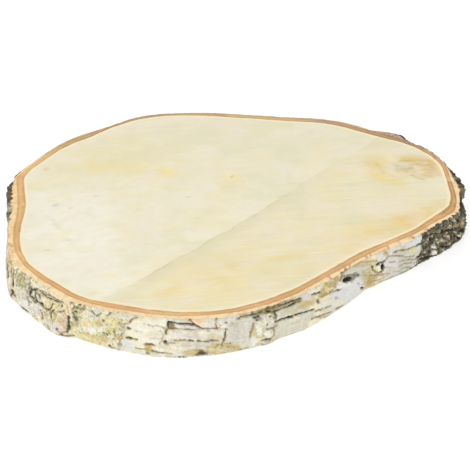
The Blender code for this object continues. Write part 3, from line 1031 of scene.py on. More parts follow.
# -- front right --
area("olive", [(252, 312), (262, 309.4), (272, 306), (284, 302.4), (300, 298), (301.4, 300.6), (291, 305.4), (281, 309.6), (268, 313), (256, 316)], 0.8, 0.0, 1.2, 0.6)
patch("stone", 289, 304.2, 8, 0.8, 0.6, 0, 18)
scratch("umber", 1.3, [(265, 310.6), (270, 308.6), (276, 306.8), (283, 305), (290, 302), (297, 299.4), (301.4, 298.2)], 0.4, 0.95)
scratch("ink", 1.2, [(286, 303.8), (293, 300.8), (300, 298.6)], 0.3, 0.9)
scratch("dark", 1.5, [(268, 312.4), (275, 311), (281, 309.2), (286, 307), (291, 304.9), (296, 302.6), (299.6, 301.2)], 0.5, 0.92)
scratch("ink", 1.2, [(284, 308), (291, 305), (296, 302.8)], 0.3, 0.85)
patch("olive", 299, 300.5, 3, 2.4, 0.6)
patch("grey", 284, 312, 5, 4, 0.55)
crack("dark", 1.1, [(273, 312), (275.5, 314.5), (276.5, 318)], 0.5, 0.75)
area("ochre", [(296, 305), (306, 300.6), (316, 298), (318, 302), (308, 307.6), (297, 310)], 0.75, 0.0, 2.0)
patch("mustard", 307, 303.4, 6, 2.6, 0.4, 0, 18)
patch("moss", 300, 307, 5, 2, 0.4)
patch("lilac", 306, 297.2, 4.4, 2.6, 0.7)
patch("moss", 290, 310.5, 6, 3.4, 0.4)
patch("lichen", 325, 284.6, 5, 3, 0.6)
area("mustard", [(318, 298), (320, 291), (327, 284.6), (336, 278.4), (343.4, 272.4), (346.4, 270.4), (343, 276), (341, 280), (336.4, 284), (335.6, 288), (331, 293.4), (325, 297)], 0.8, 0.2, 1.0)
network("olive", [(318, 298), (320, 291), (327, 284.6), (336, 278.4), (346.4, 270.4), (341, 280), (335.6, 288), (325, 297)], 4.6, 0.07, 835, 0.6, 0.3, 0.5,
        fill=("ochre", "butter", "mustard", "moss", "ochre"))
patch("ochre", 327, 289, 5, 3, 0.4, 0, 30)
patch("olive", 324, 294.6, 4.4, 2.0, 0.5, 0, 30)
crack("mustard", 1.3, [(320.5, 298), (325, 296), (330, 293.4), (333, 290.6), (335.5, 287), (335.5, 284), (338, 281.3), (342, 279), (341.3, 275.3), (343, 271.6), (348, 268.6), (352, 266)], 0.4, 0.9)
crack("olive", 1.2, [(341, 280), (342.3, 277), (341.3, 274.5), (343.6, 271), (348.4, 268.3), (352, 265.6), (358, 263.4), (366, 262.4), (378, 261)], 0.5, 0.8)
patch("peach", 337, 274, 4, 3.5, 0.6)
crack("dark", 1.5, [(312, 294.7), (316, 293.9), (320, 292.7)], 0.7, 0.9)
spot("dark", 318.5, 301.8, 1.8, 2.2, 0.9, 0.6)
patch("white", 313, 291.5, 6, 1.6, 0.6, 0.15, 12)
patch("peach", 324, 299.5, 5, 1.5, 0.55, 0, 20)
crack("dark", 1.5, [(276, 322), (281, 320), (286, 318.7), (291, 316.8), (296, 315), (302, 313.5), (308, 311.6), (314, 309.5)], 0.8, 0.95)
spot("ink", 290.5, 317.2, 3.2, 1.2, 0.9, 0.4)
spot("umber", 280, 320.4, 2.4, 0.9, 0.6, 0.2)
spot("ink", 301.5, 313.6, 1.8, 1.0, 0.9, 0.3)
scratch("dark", 1.2, [(295, 315.4), (302, 313.4), (308, 311.5), (313.4, 309.9)], 0.3, 0.9)
crack("umber", 1.0, [(315, 311.8), (320, 309.7), (326, 308), (331, 306)], 0.5, 0.85)
area("white", [(320, 303), (333, 300), (333, 305), (320, 309)], 0.5)
crack("umber", 1.2, [(311.5, 319.2), (316, 317.9), (321, 316.2), (326, 313.8), (331, 312.3)], 0.5, 0.85)
crack("olive", 0.9, [(320, 318.6), (325, 316.8), (330, 314.8)], 0.3, 0.6)
area("stone", [(278, 323), (300, 316), (312, 312), (312, 318), (304, 328), (280, 336), (275, 333)], 0.55)
crack("grey", 0.8, [(292, 323), (300, 321)], 0.1, 0.5)
patch("butter", 340, 303.5, 6, 2.4, 0.45, 0, 28)
crack("umber", 1.4, [(336, 309), (339.5, 307.5), (343.5, 305.8)], 0.5, 0.85)
patch("pink", 330, 309, 5, 1.6, 0.3, 0, 25)
patch("butter", 322, 313, 8, 2.0, 0.3, 0, 22)

# -- the dark hollow and the bluish bark --
area("blue", [(336, 289), (343, 283), (356, 281), (364, 277), (362, 289), (357, 294), (347, 301), (333, 301), (333, 294)], 0.85)
patch("white", 344, 285.5, 6, 2.2, 0.6, 0, 14)
area("ochre", [(344, 272), (350, 266), (360, 261.6), (376, 258.4), (378, 266), (366, 267), (352, 271)], 0.6)
area("moss", [(346, 272), (352, 269), (362, 266.6), (374, 265), (374, 270), (362, 272)], 0.5)
patch("blue", 361, 268.4, 8, 2.0, 0.5, 0, 10)
patch("stone", 353, 271, 5, 1.8, 0.6, 0, 20)
area("slate", [(344, 276), (349, 273.4), (358, 273), (359.5, 276), (356, 279), (352, 281.5), (346, 282.6), (343, 281)], 0.85, -1.0)
area("ink", [(343.2, 280.6), (346, 278), (351, 276.6), (352.6, 279), (349, 281.8), (345, 282.4)], 0.95, -1.1, 0.9, 0.6)
crack("ink", 1.6, [(343, 280.6), (346, 282), (350, 281), (352, 279)], 0.5)
crack("slate", 1.2, [(353, 276.5), (358, 275.6)], 0.3)
crack("umber", 0.9, [(331, 293), (335, 291.5), (338.5, 290.3), (342, 288.7)], 0.5, 0.8)
spot("umber", 338.7, 290.4, 2.2, 1.0, 0.85)
spot("slate", 336.5, 298, 2.4, 2.0, 0.5, 0)
spot("slate", 358.5, 284, 1.6, 1.0, 0.5, 0)
patch("pink", 352, 299, 6, 1.2, 0.2, 0, 32)

# -- ochre bark and the hooked crack --
area("ochre", [(363.6, 274), (372, 271), (377, 276), (373.4, 283), (368, 288), (364, 285.4)], 0.8, 0.0, 1.4)
patch("mustard", 369.6, 281.6, 2.6, 4.4, 0.75)
patch("moss", 363, 277, 3.4, 4.6, 0.5)
network("olive", [(362, 271), (378, 268), (378, 280), (368, 288), (363, 286)], 4.0, 0.07, 837, 0.5, 0.3, 0.4)
patch("lilac", 379.6, 277.6, 3.0, 2.6, 0.6)
area("moss", [(360, 272), (371, 268), (373, 272), (366, 275), (360, 276)], 0.4)
crack("tan", 0.8, [(354, 267), (361, 265.5), (371, 264.5)], 0.3, 0.6)
crack("umber", 0.8, [(366, 276), (372, 275.6), (380, 274.6), (388, 272.8)], 0.4, 0.6)
crack("tan", 0.9, [(374, 276.6), (380, 275.4), (390, 273.6)], 0.3)
crack("umber", 0.8, [(369, 283), (374, 280.5), (380, 279)], 0.3, 0.5)
spot("dark", 362, 288.3, 2.0, 1.6, 0.9, 1.2)
spot("pink", 364.5, 290, 2.2, 1.2, 0.6, 0)
patch("cream", 378.5, 268, 2.6, 1.8, 0.8, 0.4)
scratch("dark", 1.4, [(372.6, 266.6), (372.8, 268.6), (373.6, 270.2)], 0.4, 0.9)
scratch("umber", 1.2, [(373.6, 270.2), (375.8, 271.9), (378.2, 272.4), (380.6, 271.8)], 0.3, 0.8)
scratch("dark", 1.5, [(380.6, 271.8), (382.2, 270.3), (383.1, 268.1), (382.8, 265.8)], 0.5, 0.95)
patch("lichen", 376, 269.8, 2.0, 1.4, 0.6)
scratch("ink", 1.9, [(382.4, 268.8), (383.2, 266.6), (382.4, 265)], 0.4, 0.9)
spot("ink", 382.2, 266.6, 2.2, 2.2, 0.95, 0.8)
scratch("dark", 1.5, [(376.4, 265), (378.4, 263.2), (382, 262.6), (384.6, 260.8)], 0.5, 0.85)
scratch("umber", 1.4, [(384.6, 260.8), (387, 258.8), (388.2, 256.4)], 0.4, 0.85)
spot("ink", 378, 264.4, 1.5, 1.1, 0.9, 0.5)
spot("umber", 387, 258.6, 1.8, 1.6, 0.8)
crack("umber", 0.8, [(384.5, 267.2), (390, 267.3), (395, 268)], 0.3, 0.7)
patch("blue", 392, 263, 6.5, 7, 0.8)
patch("white", 391, 265.5, 4.5, 3.0, 0.5)
patch("slate", 386.5, 253, 2.2, 1.8, 0.5)

# -- the wrinkled grey bark --
area("grey", [(386, 256), (400, 252), (416, 248), (421, 256), (418, 264), (400, 274), (386, 280)], 0.5)
patch("slate", 408, 262, 12, 8, 0.16, 0, 25)
patch("blue", 393, 263, 6, 6, 0.4)
crack("umber", 0.8, [(388, 256.6), (393, 255.5), (399, 255.6), (404, 256.6), (409, 257), (414, 256.3)], 0.4, 0.75)
crack("umber", 1.2, [(393.4, 252.8), (396, 251), (400, 250.2), (405, 250), (410, 248), (414, 246.6), (418, 245.4)], 0.6, 0.85)
crack("dark", 1.9, [(416, 245.6), (419, 244.4), (422, 243.4)], 0.7, 0.95)
patch("lilac", 411, 244.6, 4.6, 2.4, 0.75)
patch("lichen", 413, 250.6, 3.4, 2.6, 0.8)
patch("butter", 407, 255, 3.2, 1.3, 0.75)
patch("stone", 408, 263, 8, 6, 0.5)
for points in (
    [(399, 262), (405, 260), (411, 259.4), (416, 259)],
    [(399, 266), (405, 263.4), (411, 262.4), (416, 262.2)],
    [(401, 269), (405, 267.2), (409, 267.2), (411, 268.4)],
    [(389, 262), (395, 261.6)],
    [(394, 272), (401, 270.6)],
):
    crack("slate", 0.9, points, 0.35, 0.6)
crack("dark", 1.2, [(400, 273.3), (406, 271), (411, 268.4), (417, 265.2), (424, 260.8)], 0.4, 0.8)
crack("umber", 0.9, [(380, 282), (388, 278.5), (398, 274.6)], 0.2, 0.5)

# -- the dark, scaly bark --
crack("dark", 1.8, [(416.5, 257.8), (420, 256), (423, 254)], 0.6, 0.95)
spot("white", 434.2, 247, 2.4, 1.9, 0.97, -0.5)
spot("white", 434.5, 252.8, 3.0, 3.0, 0.97, -0.6)
spot("white", 431.6, 254.6, 1.5, 1.0, 0.9, -0.3)
spot("white", 459, 236.2, 1.7, 1.5, 0.95, -0.3)
for x, y, r in ((428, 236.5, 1.4), (425, 252, 1.3), (444, 250, 1.6), (438, 242, 1.5), (441, 240, 1.4),
                (447, 233, 1.2), (450, 226, 1.2), (452.5, 227.5, 1.0), (455, 221, 1.6), (426, 243, 1.3),
                (449.5, 244, 1.2), (463, 234, 1.0)):
    spot("stone", x, y, r, r * 0.9, 0.75, -0.3)
crack("ink", 2.0, [(443, 232.6), (447, 230.8), (451, 229.8), (455, 230)], 0.7)
crack("ink", 1.8, [(441, 247), (446, 246.6), (450, 246), (452, 243)], 0.6)
crack("ink", 2.2, [(455, 236), (459, 238.6), (462, 236)], 0.5)
spot("ink", 462.5, 231, 2.0, 3.0, 0.85)
crack("ink", 2.2, [(422, 259), (427, 257.6), (432, 256)], 0.3)
crack("dark", 2.0, [(424, 238.6), (428, 236), (433, 234), (441, 234)], 0.5, 0.85)
spot("pink", 441, 241, 3.0, 2.2, 0.4, 0)
spot("pink", 447, 236, 4.0, 1.6, 0.35, 0)
spot("tan", 457, 226, 2.4, 2.4, 0.5, 0)
spot("tan", 462, 223, 1.6, 5.0, 0.6, 0)

# -- the back, which the photograph doesn't show: the same kinds of marks, spread out --
rng = np.random.default_rng(77)
back_start, back_length = arc_at(30), (arc_at(160) - arc_at(30)) % GIRTH
for k in range(64):
    # breathing pores: short dashes that lie level
    a = back_start + rng.uniform(0, back_length)
    h = rng.uniform(3, 27)
    long = rng.uniform(1.2, 4.5) * (2.2 if k % 9 == 0 else 1.0)
    tone = ("umber", "dark", "umber", "slate")[k % 4]
    rise = rng.uniform(-0.5, 0.5)
    crack_at(tone, rng.uniform(0.7, 1.5), [(a, h), (a + long, h + rise)], 0.35, rng.uniform(0.5, 0.9))
for k in range(11):
    # longer splits that follow the layers
    a = back_start + back_length * (k + rng.uniform(0.1, 0.9)) / 11
    h = rng.uniform(5, 25)
    places = [(a, h)]
    for _ in range(int(rng.integers(3, 7))):
        a += rng.uniform(3.0, 6.5)
        h = float(np.clip(h + rng.uniform(-1.3, 1.3), 2, 28))
        places.append((a, h))
    crack_at("dark" if k % 2 else "umber", rng.uniform(0.9, 1.9), places, 0.8, 0.9, 0.25)
for k in range(7):
    # upright splits, thin and pale
    a = back_start + back_length * (k + rng.uniform(0.1, 0.9)) / 7
    h = rng.uniform(14, 27)
    places = [(a, h)]
    for _ in range(int(rng.integers(2, 5))):
        a += rng.uniform(-1.2, 1.2)
        h -= rng.uniform(2.0, 4.5)
        places.append((a, max(h, 1.5)))
    crack_at("tan", rng.uniform(0.6, 1.2), places, 0.3, 0.4)

# ---------------------------------------------------------------------------
# Bark that stands out beyond the sawn edge, so that it shows from above
# ---------------------------------------------------------------------------
CRUST = [
    # place on the rim, how far out in mm, tone
    ((22.5, 171.5), 0.9, "slate"), ((17, 175), 1.4, "dark"), ((14.5, 179), 0.3, "cream"),
    ((12.5, 182.5), 1.8, "dark"), ((11.5, 186), 3.0, "ink"), ((10.8, 190), 3.2, "dark"),
    ((10, 196), 2.6, "dark"), ((9.6, 200), 2.2, "ink"), ((9.4, 205), 1.6, "slate"),
    ((9.2, 209), 1.5, "grey"), ((9, 213), 1.8, "dark"), ((8.6, 218), 1.2, "slate"),
    ((8.2, 223), 0.4, "grey"), ((7.5, 233), 0.1, "tan"), ((7, 243), 0.1, "stone"),
    ((7.4, 250), 0.2, "stone"), ((9.4, 257), 0.2, "tan"), ((12.6, 263), 0.05, "peach"),
]
CRUST_RIGHT = [
    ((460.8, 208.6), 0.5, "dark"), ((460.5, 204.6), 0.3, "ink"), ((460.3, 201.4), 0.9, "ink"),
    ((460.2, 197.4), 0.5, "dark"), ((460, 194), 0.8, "dark"), ((459.6, 191), 2.4, "umber"),
    ((458.7, 188), 4.6, "umber"), ((457.7, 185.2), 5.0, "dark"), ((456.2, 182.3), 4.2, "ink"),
    ((454.6, 179.6), 3.8, "dark"), ((453, 177), 3.7, "slate"), ((451.4, 173.8), 3.5, "dark"),
    ((450, 171), 2.6, "ink"), ((448.4, 167.4), 1.1, "dark"), ((446.4, 164), 0.6, "slate"),
    ((442, 159.6), 0.4, "pink"), ((437.5, 156.2), 0.3, "tan"),
    ((430, 150.6), 0.4, "pink"), ((424, 147.6), 0.8, "pink"), ((418, 145.4), 0.8, "olive"),
    ((411, 142.8), 0.7, "slate"), ((406, 140.4), 0.8, "dark"), ((403, 138), 1.8, "ink"),
    ((400, 135.6), 2.0, "ink"), ((397, 134.4), 0.8, "umber"), ((392, 133.2), 0.6, "tan"),
    ((385, 132.2), 0.5, "umber"), ((375, 130.6), 0.2, "tan"),
]


def crust_profile(stations):
    arcs = np.array([arc_of_rim(s[0]) for s in stations])
    first = arcs[0]
    rel = around(arcs, first)
    order = np.argsort(rel)
    rel = rel[order]
    outs = np.array([s[1] for s in stations])[order]
    tones = np.array([TONES[s[2]] for s in stations])[order]
    here = around(col_arc, first)
    ragged = here + 0.8 * fbm(rim_xyz / 2.4, 501, 2)
    out = np.interp(ragged, rel, outs, left=0, right=0)
    tone = np.stack([np.interp(ragged, rel, tones[:, k]) for k in range(3)], -1)
    inside = step(rel[0] - 3, rel[0], here) * (1 - step(rel[-1], rel[-1] + 3, here))
    return out * inside, tone, inside


crust_out = np.zeros(COLS)
for stations in (CRUST, CRUST_RIGHT):
    out, tone, inside = crust_profile(stations)
    jag = 1 + 0.45 * fbm(rim_xyz / 2.0, 511, 3)
    out = out * np.clip(jag, 0.2, 2)
    crust_out += out
    fade = 1 - step(5.0, 15.0, THICK * 1000 - HM)
    w = inside[None, :] * (1 - step(2.5, 8.0, THICK * 1000 - HM))
    tint = mix(tint, tone[None] * (1 + 0.25 * fbm(P / 1.6, 521, 3))[..., None], w * 0.9)
    D = D + out[None, :] * (0.35 + 0.65 * fade)
D += 0.5 * rough_rim[None, :] * fbm(P / 2.6, 531, 3) * (1 - step(2.0, 7.0, THICK * 1000 - HM))
# the old bark at the right end is lumpy
lump_at = wall_arc(462, 224)
D += 1.2 * ring_window(S, lump_at - 12, lump_at + 14, 7.0) * fbm(P / 4.0, 541, 3) * (
    1 - step(23.0, 28.5, HM)
)

# the bark's feet and head are cut flush, so the relief dies down at the sawn edges
D = np.clip(D, -2.6, 5.5)
edge_calm = 0.55 + 0.45 * step(0.0, 2.2, HM)
D = D * edge_calm


def soften(field, times):
    """A smoothed copy of a field on the wall's grid."""
    f = field
    for _ in range(times):
        f = (np.roll(f, 1, 1) + 2 * f + np.roll(f, -1, 1)) / 4
        g = np.vstack([f[:1], f, f[-1:]])
        f = (g[:-2] + 2 * g[1:-1] + g[2:]) / 4
    return f


# painted shade in the hollows, darker the deeper they lie, and the high places a little lighter
hollow = soften(D, 5) - D
tint = tint * (1 - 0.42 * np.clip(hollow / 0.55, 0, 1) + 0.10 * np.clip(-hollow / 0.6, 0, 1))[..., None]
# fine grit in the tone itself
tint = tint * (1 + (0.03 + 0.10 * grit) * fbm(P / 1.25, 551, 2, 0.7))[..., None]
tint = np.clip(tint * np.array([0.975, 0.965, 0.925]), 0.004, 0.93)

# ---------------------------------------------------------------------------
# Mesh: rings over the sawn face, down the bark and under
# ---------------------------------------------------------------------------
rows = []

r_wood = at_angle(R_WOOD, col_deg)
r_orange = at_angle(R_ORANGE, col_deg)
r_rim = at_angle(R_RIM, col_deg)
r_foot = at_angle(R_FOOT, col_deg)
radial = np.stack([COS, SIN, 0 * COS], -1)

out_top = D[0][:, None] / 1000.0 * NORMAL
out_low = D[-1][:, None] / 1000.0 * NORMAL
back_top = np.minimum(D[0], 0.0)[:, None] / 1000.0 * NORMAL
back_low = np.minimum(D[-1], 0.0)[:, None] / 1000.0 * NORMAL


def row(pos, band, tone, z=None):
    pos = np.array(pos, float)
    if z is not None:
        pos[:, 2] = z
    rows.append(
        {
            "pos": pos,
            "band": np.broadcast_to(band, (COLS,)).astype(float),
            "tint": tone,
        }
    )


top_tone = tint[0]
low_tone = tint[-1]
# teeth of the rough bark reach into the pale outer bark
teeth = np.clip(fbm(rim_xyz / 1.9, 601, 3) + 0.12, 0, 1)
ragged = np.zeros(COLS)
for start, end, amount in (
    (arc_of_rim((418, 238)), arc_of_rim((456, 213)), 1.0),
    (arc_of_rim((14, 176)), arc_of_rim((9, 222)), 0.8),
    (arc_of_rim((8, 243)), arc_of_rim((75, 303)), 0.45),
    (arc_of_rim((250, 312)), arc_of_rim((300, 296)), 0.4),
    (arc_of_rim((325, 284)), arc_of_rim((400, 245)), 0.3),
    (arc_at(60), arc_at(150), 0.5),
):
    ragged = np.maximum(ragged, amount * ring_window(col_arc, start, end, 4.0))
reach = teeth * ragged

for f in (0.0, 0.25, 0.5, 0.75, 1.0):
    row(radial * (r_wood + (r_orange - r_wood) * f)[:, None], f, top_tone, THICK)
orange_pos = radial * r_orange[:, None]
rim_pos = radial * (r_rim - EDGE)[:, None] + back_top
peach_z = THICK - 0.00008 - 0.00010 * step(0.2, 0.6, fbm(rim_xyz / 1.8, 603, 2))
for f in (0.36, 0.72):
    row(orange_pos * (1 - f) + rim_pos * f, 1 + f + 0.9 * reach * f, top_tone, peach_z)
row(rim_pos, 2.0 + 0.6 * reach, top_tone, peach_z - 0.00008)
crust_pos = radial * (r_rim - EDGE)[:, None] + out_top
row(rim_pos * 0.45 + crust_pos * 0.55, 2.35, top_tone, THICK - 0.0002 - 0.35 * chip / 1000)
row(
    crust_pos + NORMAL * EDGE * 0.55,
    2.7,
    top_tone,
    THICK - EDGE * 0.4 - 0.8 * chip / 1000,
)
WALL_AT = len(rows)
for j in range(WALL_ROWS):
    row(BASE[j] + (D[j][:, None] / 1000.0) * NORMAL, 3.0, tint[j])
low_pos = radial * (r_foot - EDGE)[:, None]
row(low_pos + out_low + NORMAL * EDGE * 0.7, 3.0, low_tone, EDGE * 0.35 + 0.5 * chip_low / 1000)
row(low_pos + out_low * 0.8, 2.5, low_tone, 0.0)
row(low_pos * 0.995 + back_low, 2.0, low_tone, 0.0)
under_orange = radial * (r_foot - (r_rim - r_orange))[:, None]
under_wood = radial * (r_foot - (r_rim - r_wood))[:, None]
row(under_orange * 0.5 + (low_pos + back_low) * 0.5, 1.5, low_tone, 0.0)
for f in (1.0, 0.5, 0.0):
    row(under_wood * (1 - f) + under_orange * f, f, low_tone, 0.0)

vert_list = [r["pos"] for r in rows]
band_list = [r["band"] for r in rows]
tint_list = [r["tint"] for r in rows]
N = COLS
nrow = len(rows)
ii = np.arange(N)
jj = (ii + 1) % N
quads = np.concatenate(
    [
        np.stack([r * N + ii, (r + 1) * N + ii, (r + 1) * N + jj, r * N + jj], -1)
        for r in range(nrow - 1)
    ]
)
count = nrow * N
tris = []

# marks on the sawn face: thin lines as pixels of the photograph, and how strong
CUT_LINE = [
    (105, 298), (140, 279.6), (174, 260), (197, 248), (211, 239), (228, 230.6),
    (250, 217), (285, 195), (308, 180), (325, 169), (348, 157), (377, 139),
]
FACE_LINES = [
    # tone, half width in pixels, strength, points
    ((176, 170, 140), 0.9, 0.50, [(53, 205.6), (58, 204.8)]),
    ((190, 184, 156), 0.8, 0.40, [(69, 208.4), (73, 207.6)]),
    ((170, 150, 112), 0.9, 0.45, [(231.2, 177), (233, 176)]),
    ((186, 182, 150), 0.8, 0.38, [(186, 197.4), (190.5, 196.8)]),
    ((190, 184, 156), 0.8, 0.30, [(195, 218.4), (199, 217.6)]),
    ((192, 186, 160), 0.8, 0.35, [(94, 196.4), (98, 195.6)]),
    ((192, 186, 160), 0.9, 0.30, [(67, 240.4), (71, 239.6)]),
    ((190, 186, 164), 1.2, 0.32, [(45, 250.4), (49, 250)]),
    ((206, 202, 186), 1.4, 0.25, [(53, 220), (55, 224), (58, 228)]),
    ((196, 192, 166), 1.2, 0.30, [(279, 197.4), (287, 194.4)]),
    ((196, 192, 166), 1.4, 0.30, [(251, 216.6), (256, 215)]),
    ((196, 186, 150), 0.8, 0.45, [(392, 163.6), (396, 162.6), (400, 161.2)]),
    ((160, 140, 104), 0.8, 0.45, [(400, 160.8), (401, 160.4)]),
    ((184, 172, 126), 1.2, 0.45, [(401, 170), (405, 169.6), (409, 168.6), (413, 168.2)]),
    ((184, 172, 126), 0.9, 0.35, [(404, 171.4), (408, 171.8)]),
    ((190, 178, 148), 1.0, 0.42, [(411, 174.8), (416, 177), (422, 179), (424, 179.6)]),
    ((200, 184, 150), 0.8, 0.30, [(392, 176.6), (399, 177.4), (407, 178)]),
    ((206, 194, 158), 0.9, 0.30, [(389, 174.5), (393, 175.6)]),
    ((205, 170, 128), 0.8, 0.22, [(418, 163), (424, 162)]),
]
fine_spots = []
for tone, half, strength, points in FACE_LINES:
    for (ax, ay), (bx, by) in zip(points, points[1:]):
        n = max(1, int(math.hypot(bx - ax, by - ay) / 0.7))
        for k in range(n + 1):
            cx, cy = ax + (bx - ax) * k / n, ay + (by - ay) * k / n
            for oy in (-1.6, -0.8, 0.0, 0.8, 1.6):
                for ox in (0.0,) if 0 < k < n else (-1.2, 0.0, 1.2):
                    fine_spots.append((cx + ox + 0.35 * (oy > 0), cy + oy))
fine_spots = on_plane(fine_spots, THICK)[:, :2]
# a closer mesh over the knot
knot_u, knot_v = np.meshgrid(np.arange(368, 440, 2.0), np.arange(152, 186, 1.2))
knot_px = np.stack([(knot_u + (np.arange(knot_u.shape[0]) % 2)[:, None] * 1.0).ravel(), knot_v.ravel()], -1)
knot_spots = on_plane(knot_px, THICK)[:, :2]


def fill_face(edge_ids, z, grid_mm, extra=(), tone=None):
    """Closes a sawn face: graded rings inside the edge, then an even spread of points."""
    global count
    all_pos = np.concatenate(vert_list)
    ids = edge_ids
    first = all_pos[edge_ids][:, :2]
    first_r = np.hypot(*first.T)
    first_a = np.arctan2(first[:, 1], first[:, 0]) % math.tau
    order = np.argsort(first_a)
    fa, fr = first_a[order], first_r[order]
    pts = first
    for drop, keep in ((0.0018, 1), (0.0040, 2), (0.0070, 2)):
        m = len(ids)
        n = m // keep
        pick = np.arange(n) * keep
        ang = np.arctan2(pts[pick, 1], pts[pick, 0])
        r = np.interp(ang % math.tau, fa, fr, period=math.tau) - drop
        new = np.stack([r * np.cos(ang), r * np.sin(ang)], -1)
        new_ids = count + np.arange(n)
        count += n
        vert_list.append(np.concatenate([new, np.full((n, 1), z)], 1))
        band_list.append(np.full(n, -drop * 1000.0))
        tint_list.append(np.tile(TONES["cream"], (n, 1)))
        for k in range(n):
            k2 = (k + 1) % n
            if keep == 1:
                a, b, c, d = ids[k], ids[k2], new_ids[k2], new_ids[k]
                tris.append((a, b, c))
                tris.append((a, c, d))
            else:
                a, mid, b = ids[2 * k], ids[(2 * k + 1) % m], ids[(2 * k + 2) % m]
                if k == n - 1 and m % 2 == 1:
                    last = ids[m - 1]
                    tris.append((a, mid, new_ids[k]))
                    tris.append((mid, last, new_ids[k]))
                    tris.append((last, ids[0], new_ids[k2]))
                    tris.append((last, new_ids[k2], new_ids[k]))
                else:
                    tris.append((a, mid, new_ids[k]))
                    tris.append((mid, b, new_ids[k2]))
                    tris.append((mid, new_ids[k2], new_ids[k]))
        ids, pts = new_ids, new
    low, high = pts.min(0), pts.max(0)
    s = grid_mm / 1000.0
    ang = np.arctan2(pts[:, 1], pts[:, 0]) % math.tau
    order = np.argsort(ang)
    rr = np.hypot(*pts.T)[order]
    ys = np.arange(low[1], high[1], s * 0.866)
    grid_pts = []
    for k, y in enumerate(ys):
        xs = np.arange(low[0] + (s / 2 if k % 2 else 0), high[0], s)
        grid_pts.append(np.stack([xs, np.full(len(xs), y)], -1))
    inner = np.concatenate(grid_pts)
    rng = np.random.default_rng(5)
    inner = inner + rng.uniform(-0.1, 0.1, inner.shape) * s

    def within(p, margin):
        limit = np.interp(np.arctan2(p[:, 1], p[:, 0]) % math.tau, ang[order], rr, period=math.tau)
        return p[np.hypot(*p.T) < limit - margin]

    inner = within(inner, s * 0.7)
    for more, clear in extra:
        more = within(np.asarray(more), 0.0015)
        tree = kdtree.KDTree(len(more))
        for k, p in enumerate(more):
            tree.insert((p[0], p[1], 0.0), k)
        tree.balance()
        far = np.array([tree.find((p[0], p[1], 0.0))[2] > clear for p in inner])
        inner = np.concatenate([inner[far], more])
    n = len(pts)
    got, _, out_faces, orig, _, _ = delaunay_2d_cdt(
        [Vector(p) for p in pts] + [Vector(p) for p in inner],
        [(k, (k + 1) % n) for k in range(n)],
        [],
        1,
        1e-9,
    )
    ids_of, new_v = {}, []
    for k, o in enumerate(orig):
        if o and min(o) < n:
            ids_of[k] = ids[min(o)]
        else:
            ids_of[k] = count + len(new_v)
            new_v.append((got[k][0], got[k][1], z))
    count += len(new_v)
    vert_list.append(np.array(new_v))
    band_list.append(np.full(len(new_v), -9.0))
    tint_list.append(np.tile(TONES["cream"], (len(new_v), 1)))
    for f in out_faces:
        tris.append(tuple(ids_of[k] for k in f))


fill_face(np.arange(N), THICK, 2.7, ((knot_spots, 0.0009), (fine_spots, 0.0006)))
first_bottom = len(tris)
fill_face((nrow - 1) * N + np.arange(N), 0.0, 6.0)

V = np.concatenate(vert_list)
band = np.concatenate(band_list)
colour = np.concatenate(tint_list)
tri = np.array(tris)
a, b, c = V[tri[:, 0]], V[tri[:, 1]], V[tri[:, 2]]
up = np.cross(b - a, c - a)[:, 2] > 0
want = np.arange(len(tri)) < first_bottom
flip = up != want
tri[flip] = tri[flip][:, ::-1]
print("vertices", len(V), "triangles", len(quads) * 2 + len(tri), "columns", COLS)

# ---------------------------------------------------------------------------
# Tone of the sawn faces
# ---------------------------------------------------------------------------
top = (V[:, 2] > THICK * 0.5) & (band < 2.9)
wood_rgb = np.zeros((len(V), 3)) + linear(240, 233, 207)
inner_rgb = np.zeros((len(V), 3)) + linear(217, 170, 122)
outer_rgb = np.zeros((len(V), 3)) + linear(251, 220, 173)
VP = to_pixel(V)
MM = V * 1000.0


WASH_RAGGED = fbm(MM / 12.0, 701, 3, 0.65) + 0.6 * fbm(MM * np.array([0.10, 0.28, 0.0]), 705, 3, 0.6)


def wash(tone, x, y, rx, ry, strength, turn=0.0, soft=1.0, ragged_by=0.3):
    """A soft patch of tone on the wood: centre and half sizes in pixels."""
    global wood_rgb
    c, s = math.cos(math.radians(turn)), math.sin(math.radians(turn))
    u, v = VP[:, 0] - x, VP[:, 1] - y
    u, v = (u * c - v * s) / rx, (u * s + v * c) / ry
    d = np.hypot(u, v) + ragged_by * 1.4 * WASH_RAGGED
    w = (1 - step(1 - soft, 1 + soft * 0.6, d)) * top
    wood_rgb = mix(wood_rgb, linear(*tone), w * strength)


# which side of the old saw cut a point is on: below 0 is the paler upper left side
line_pts = on_plane(CUT_LINE, THICK)[:, :2] * 1000.0
cut = np.full(len(V), 1e9)
cut_sign = np.ones(len(V))
ends = [line_pts[0] + (line_pts[0] - line_pts[1]) * 4] + list(line_pts) + [
    line_pts[-1] + (line_pts[-1] - line_pts[-2]) * 4
]
for (ax, ay), (bx, by) in zip(ends, ends[1:]):
    ux, uy, vx, vy = MM[:, 0] - ax, MM[:, 1] - ay, bx - ax, by - ay
    t = np.clip((ux * vx + uy * vy) / (vx * vx + vy * vy), 0, 1)
    d = np.hypot(ux - t * vx, uy - t * vy)
    near = d < cut
    cut_sign = np.where(near, np.sign(uy * vx - ux * vy), cut_sign)
    cut = np.where(near, d, cut)
cut = cut * -cut_sign  # above 0 on the lower right side
lower_right = step(-0.6, 1.2, cut)

wood_rgb = mix(wood_rgb, linear(238, 228, 191), 0.55 * lower_right)
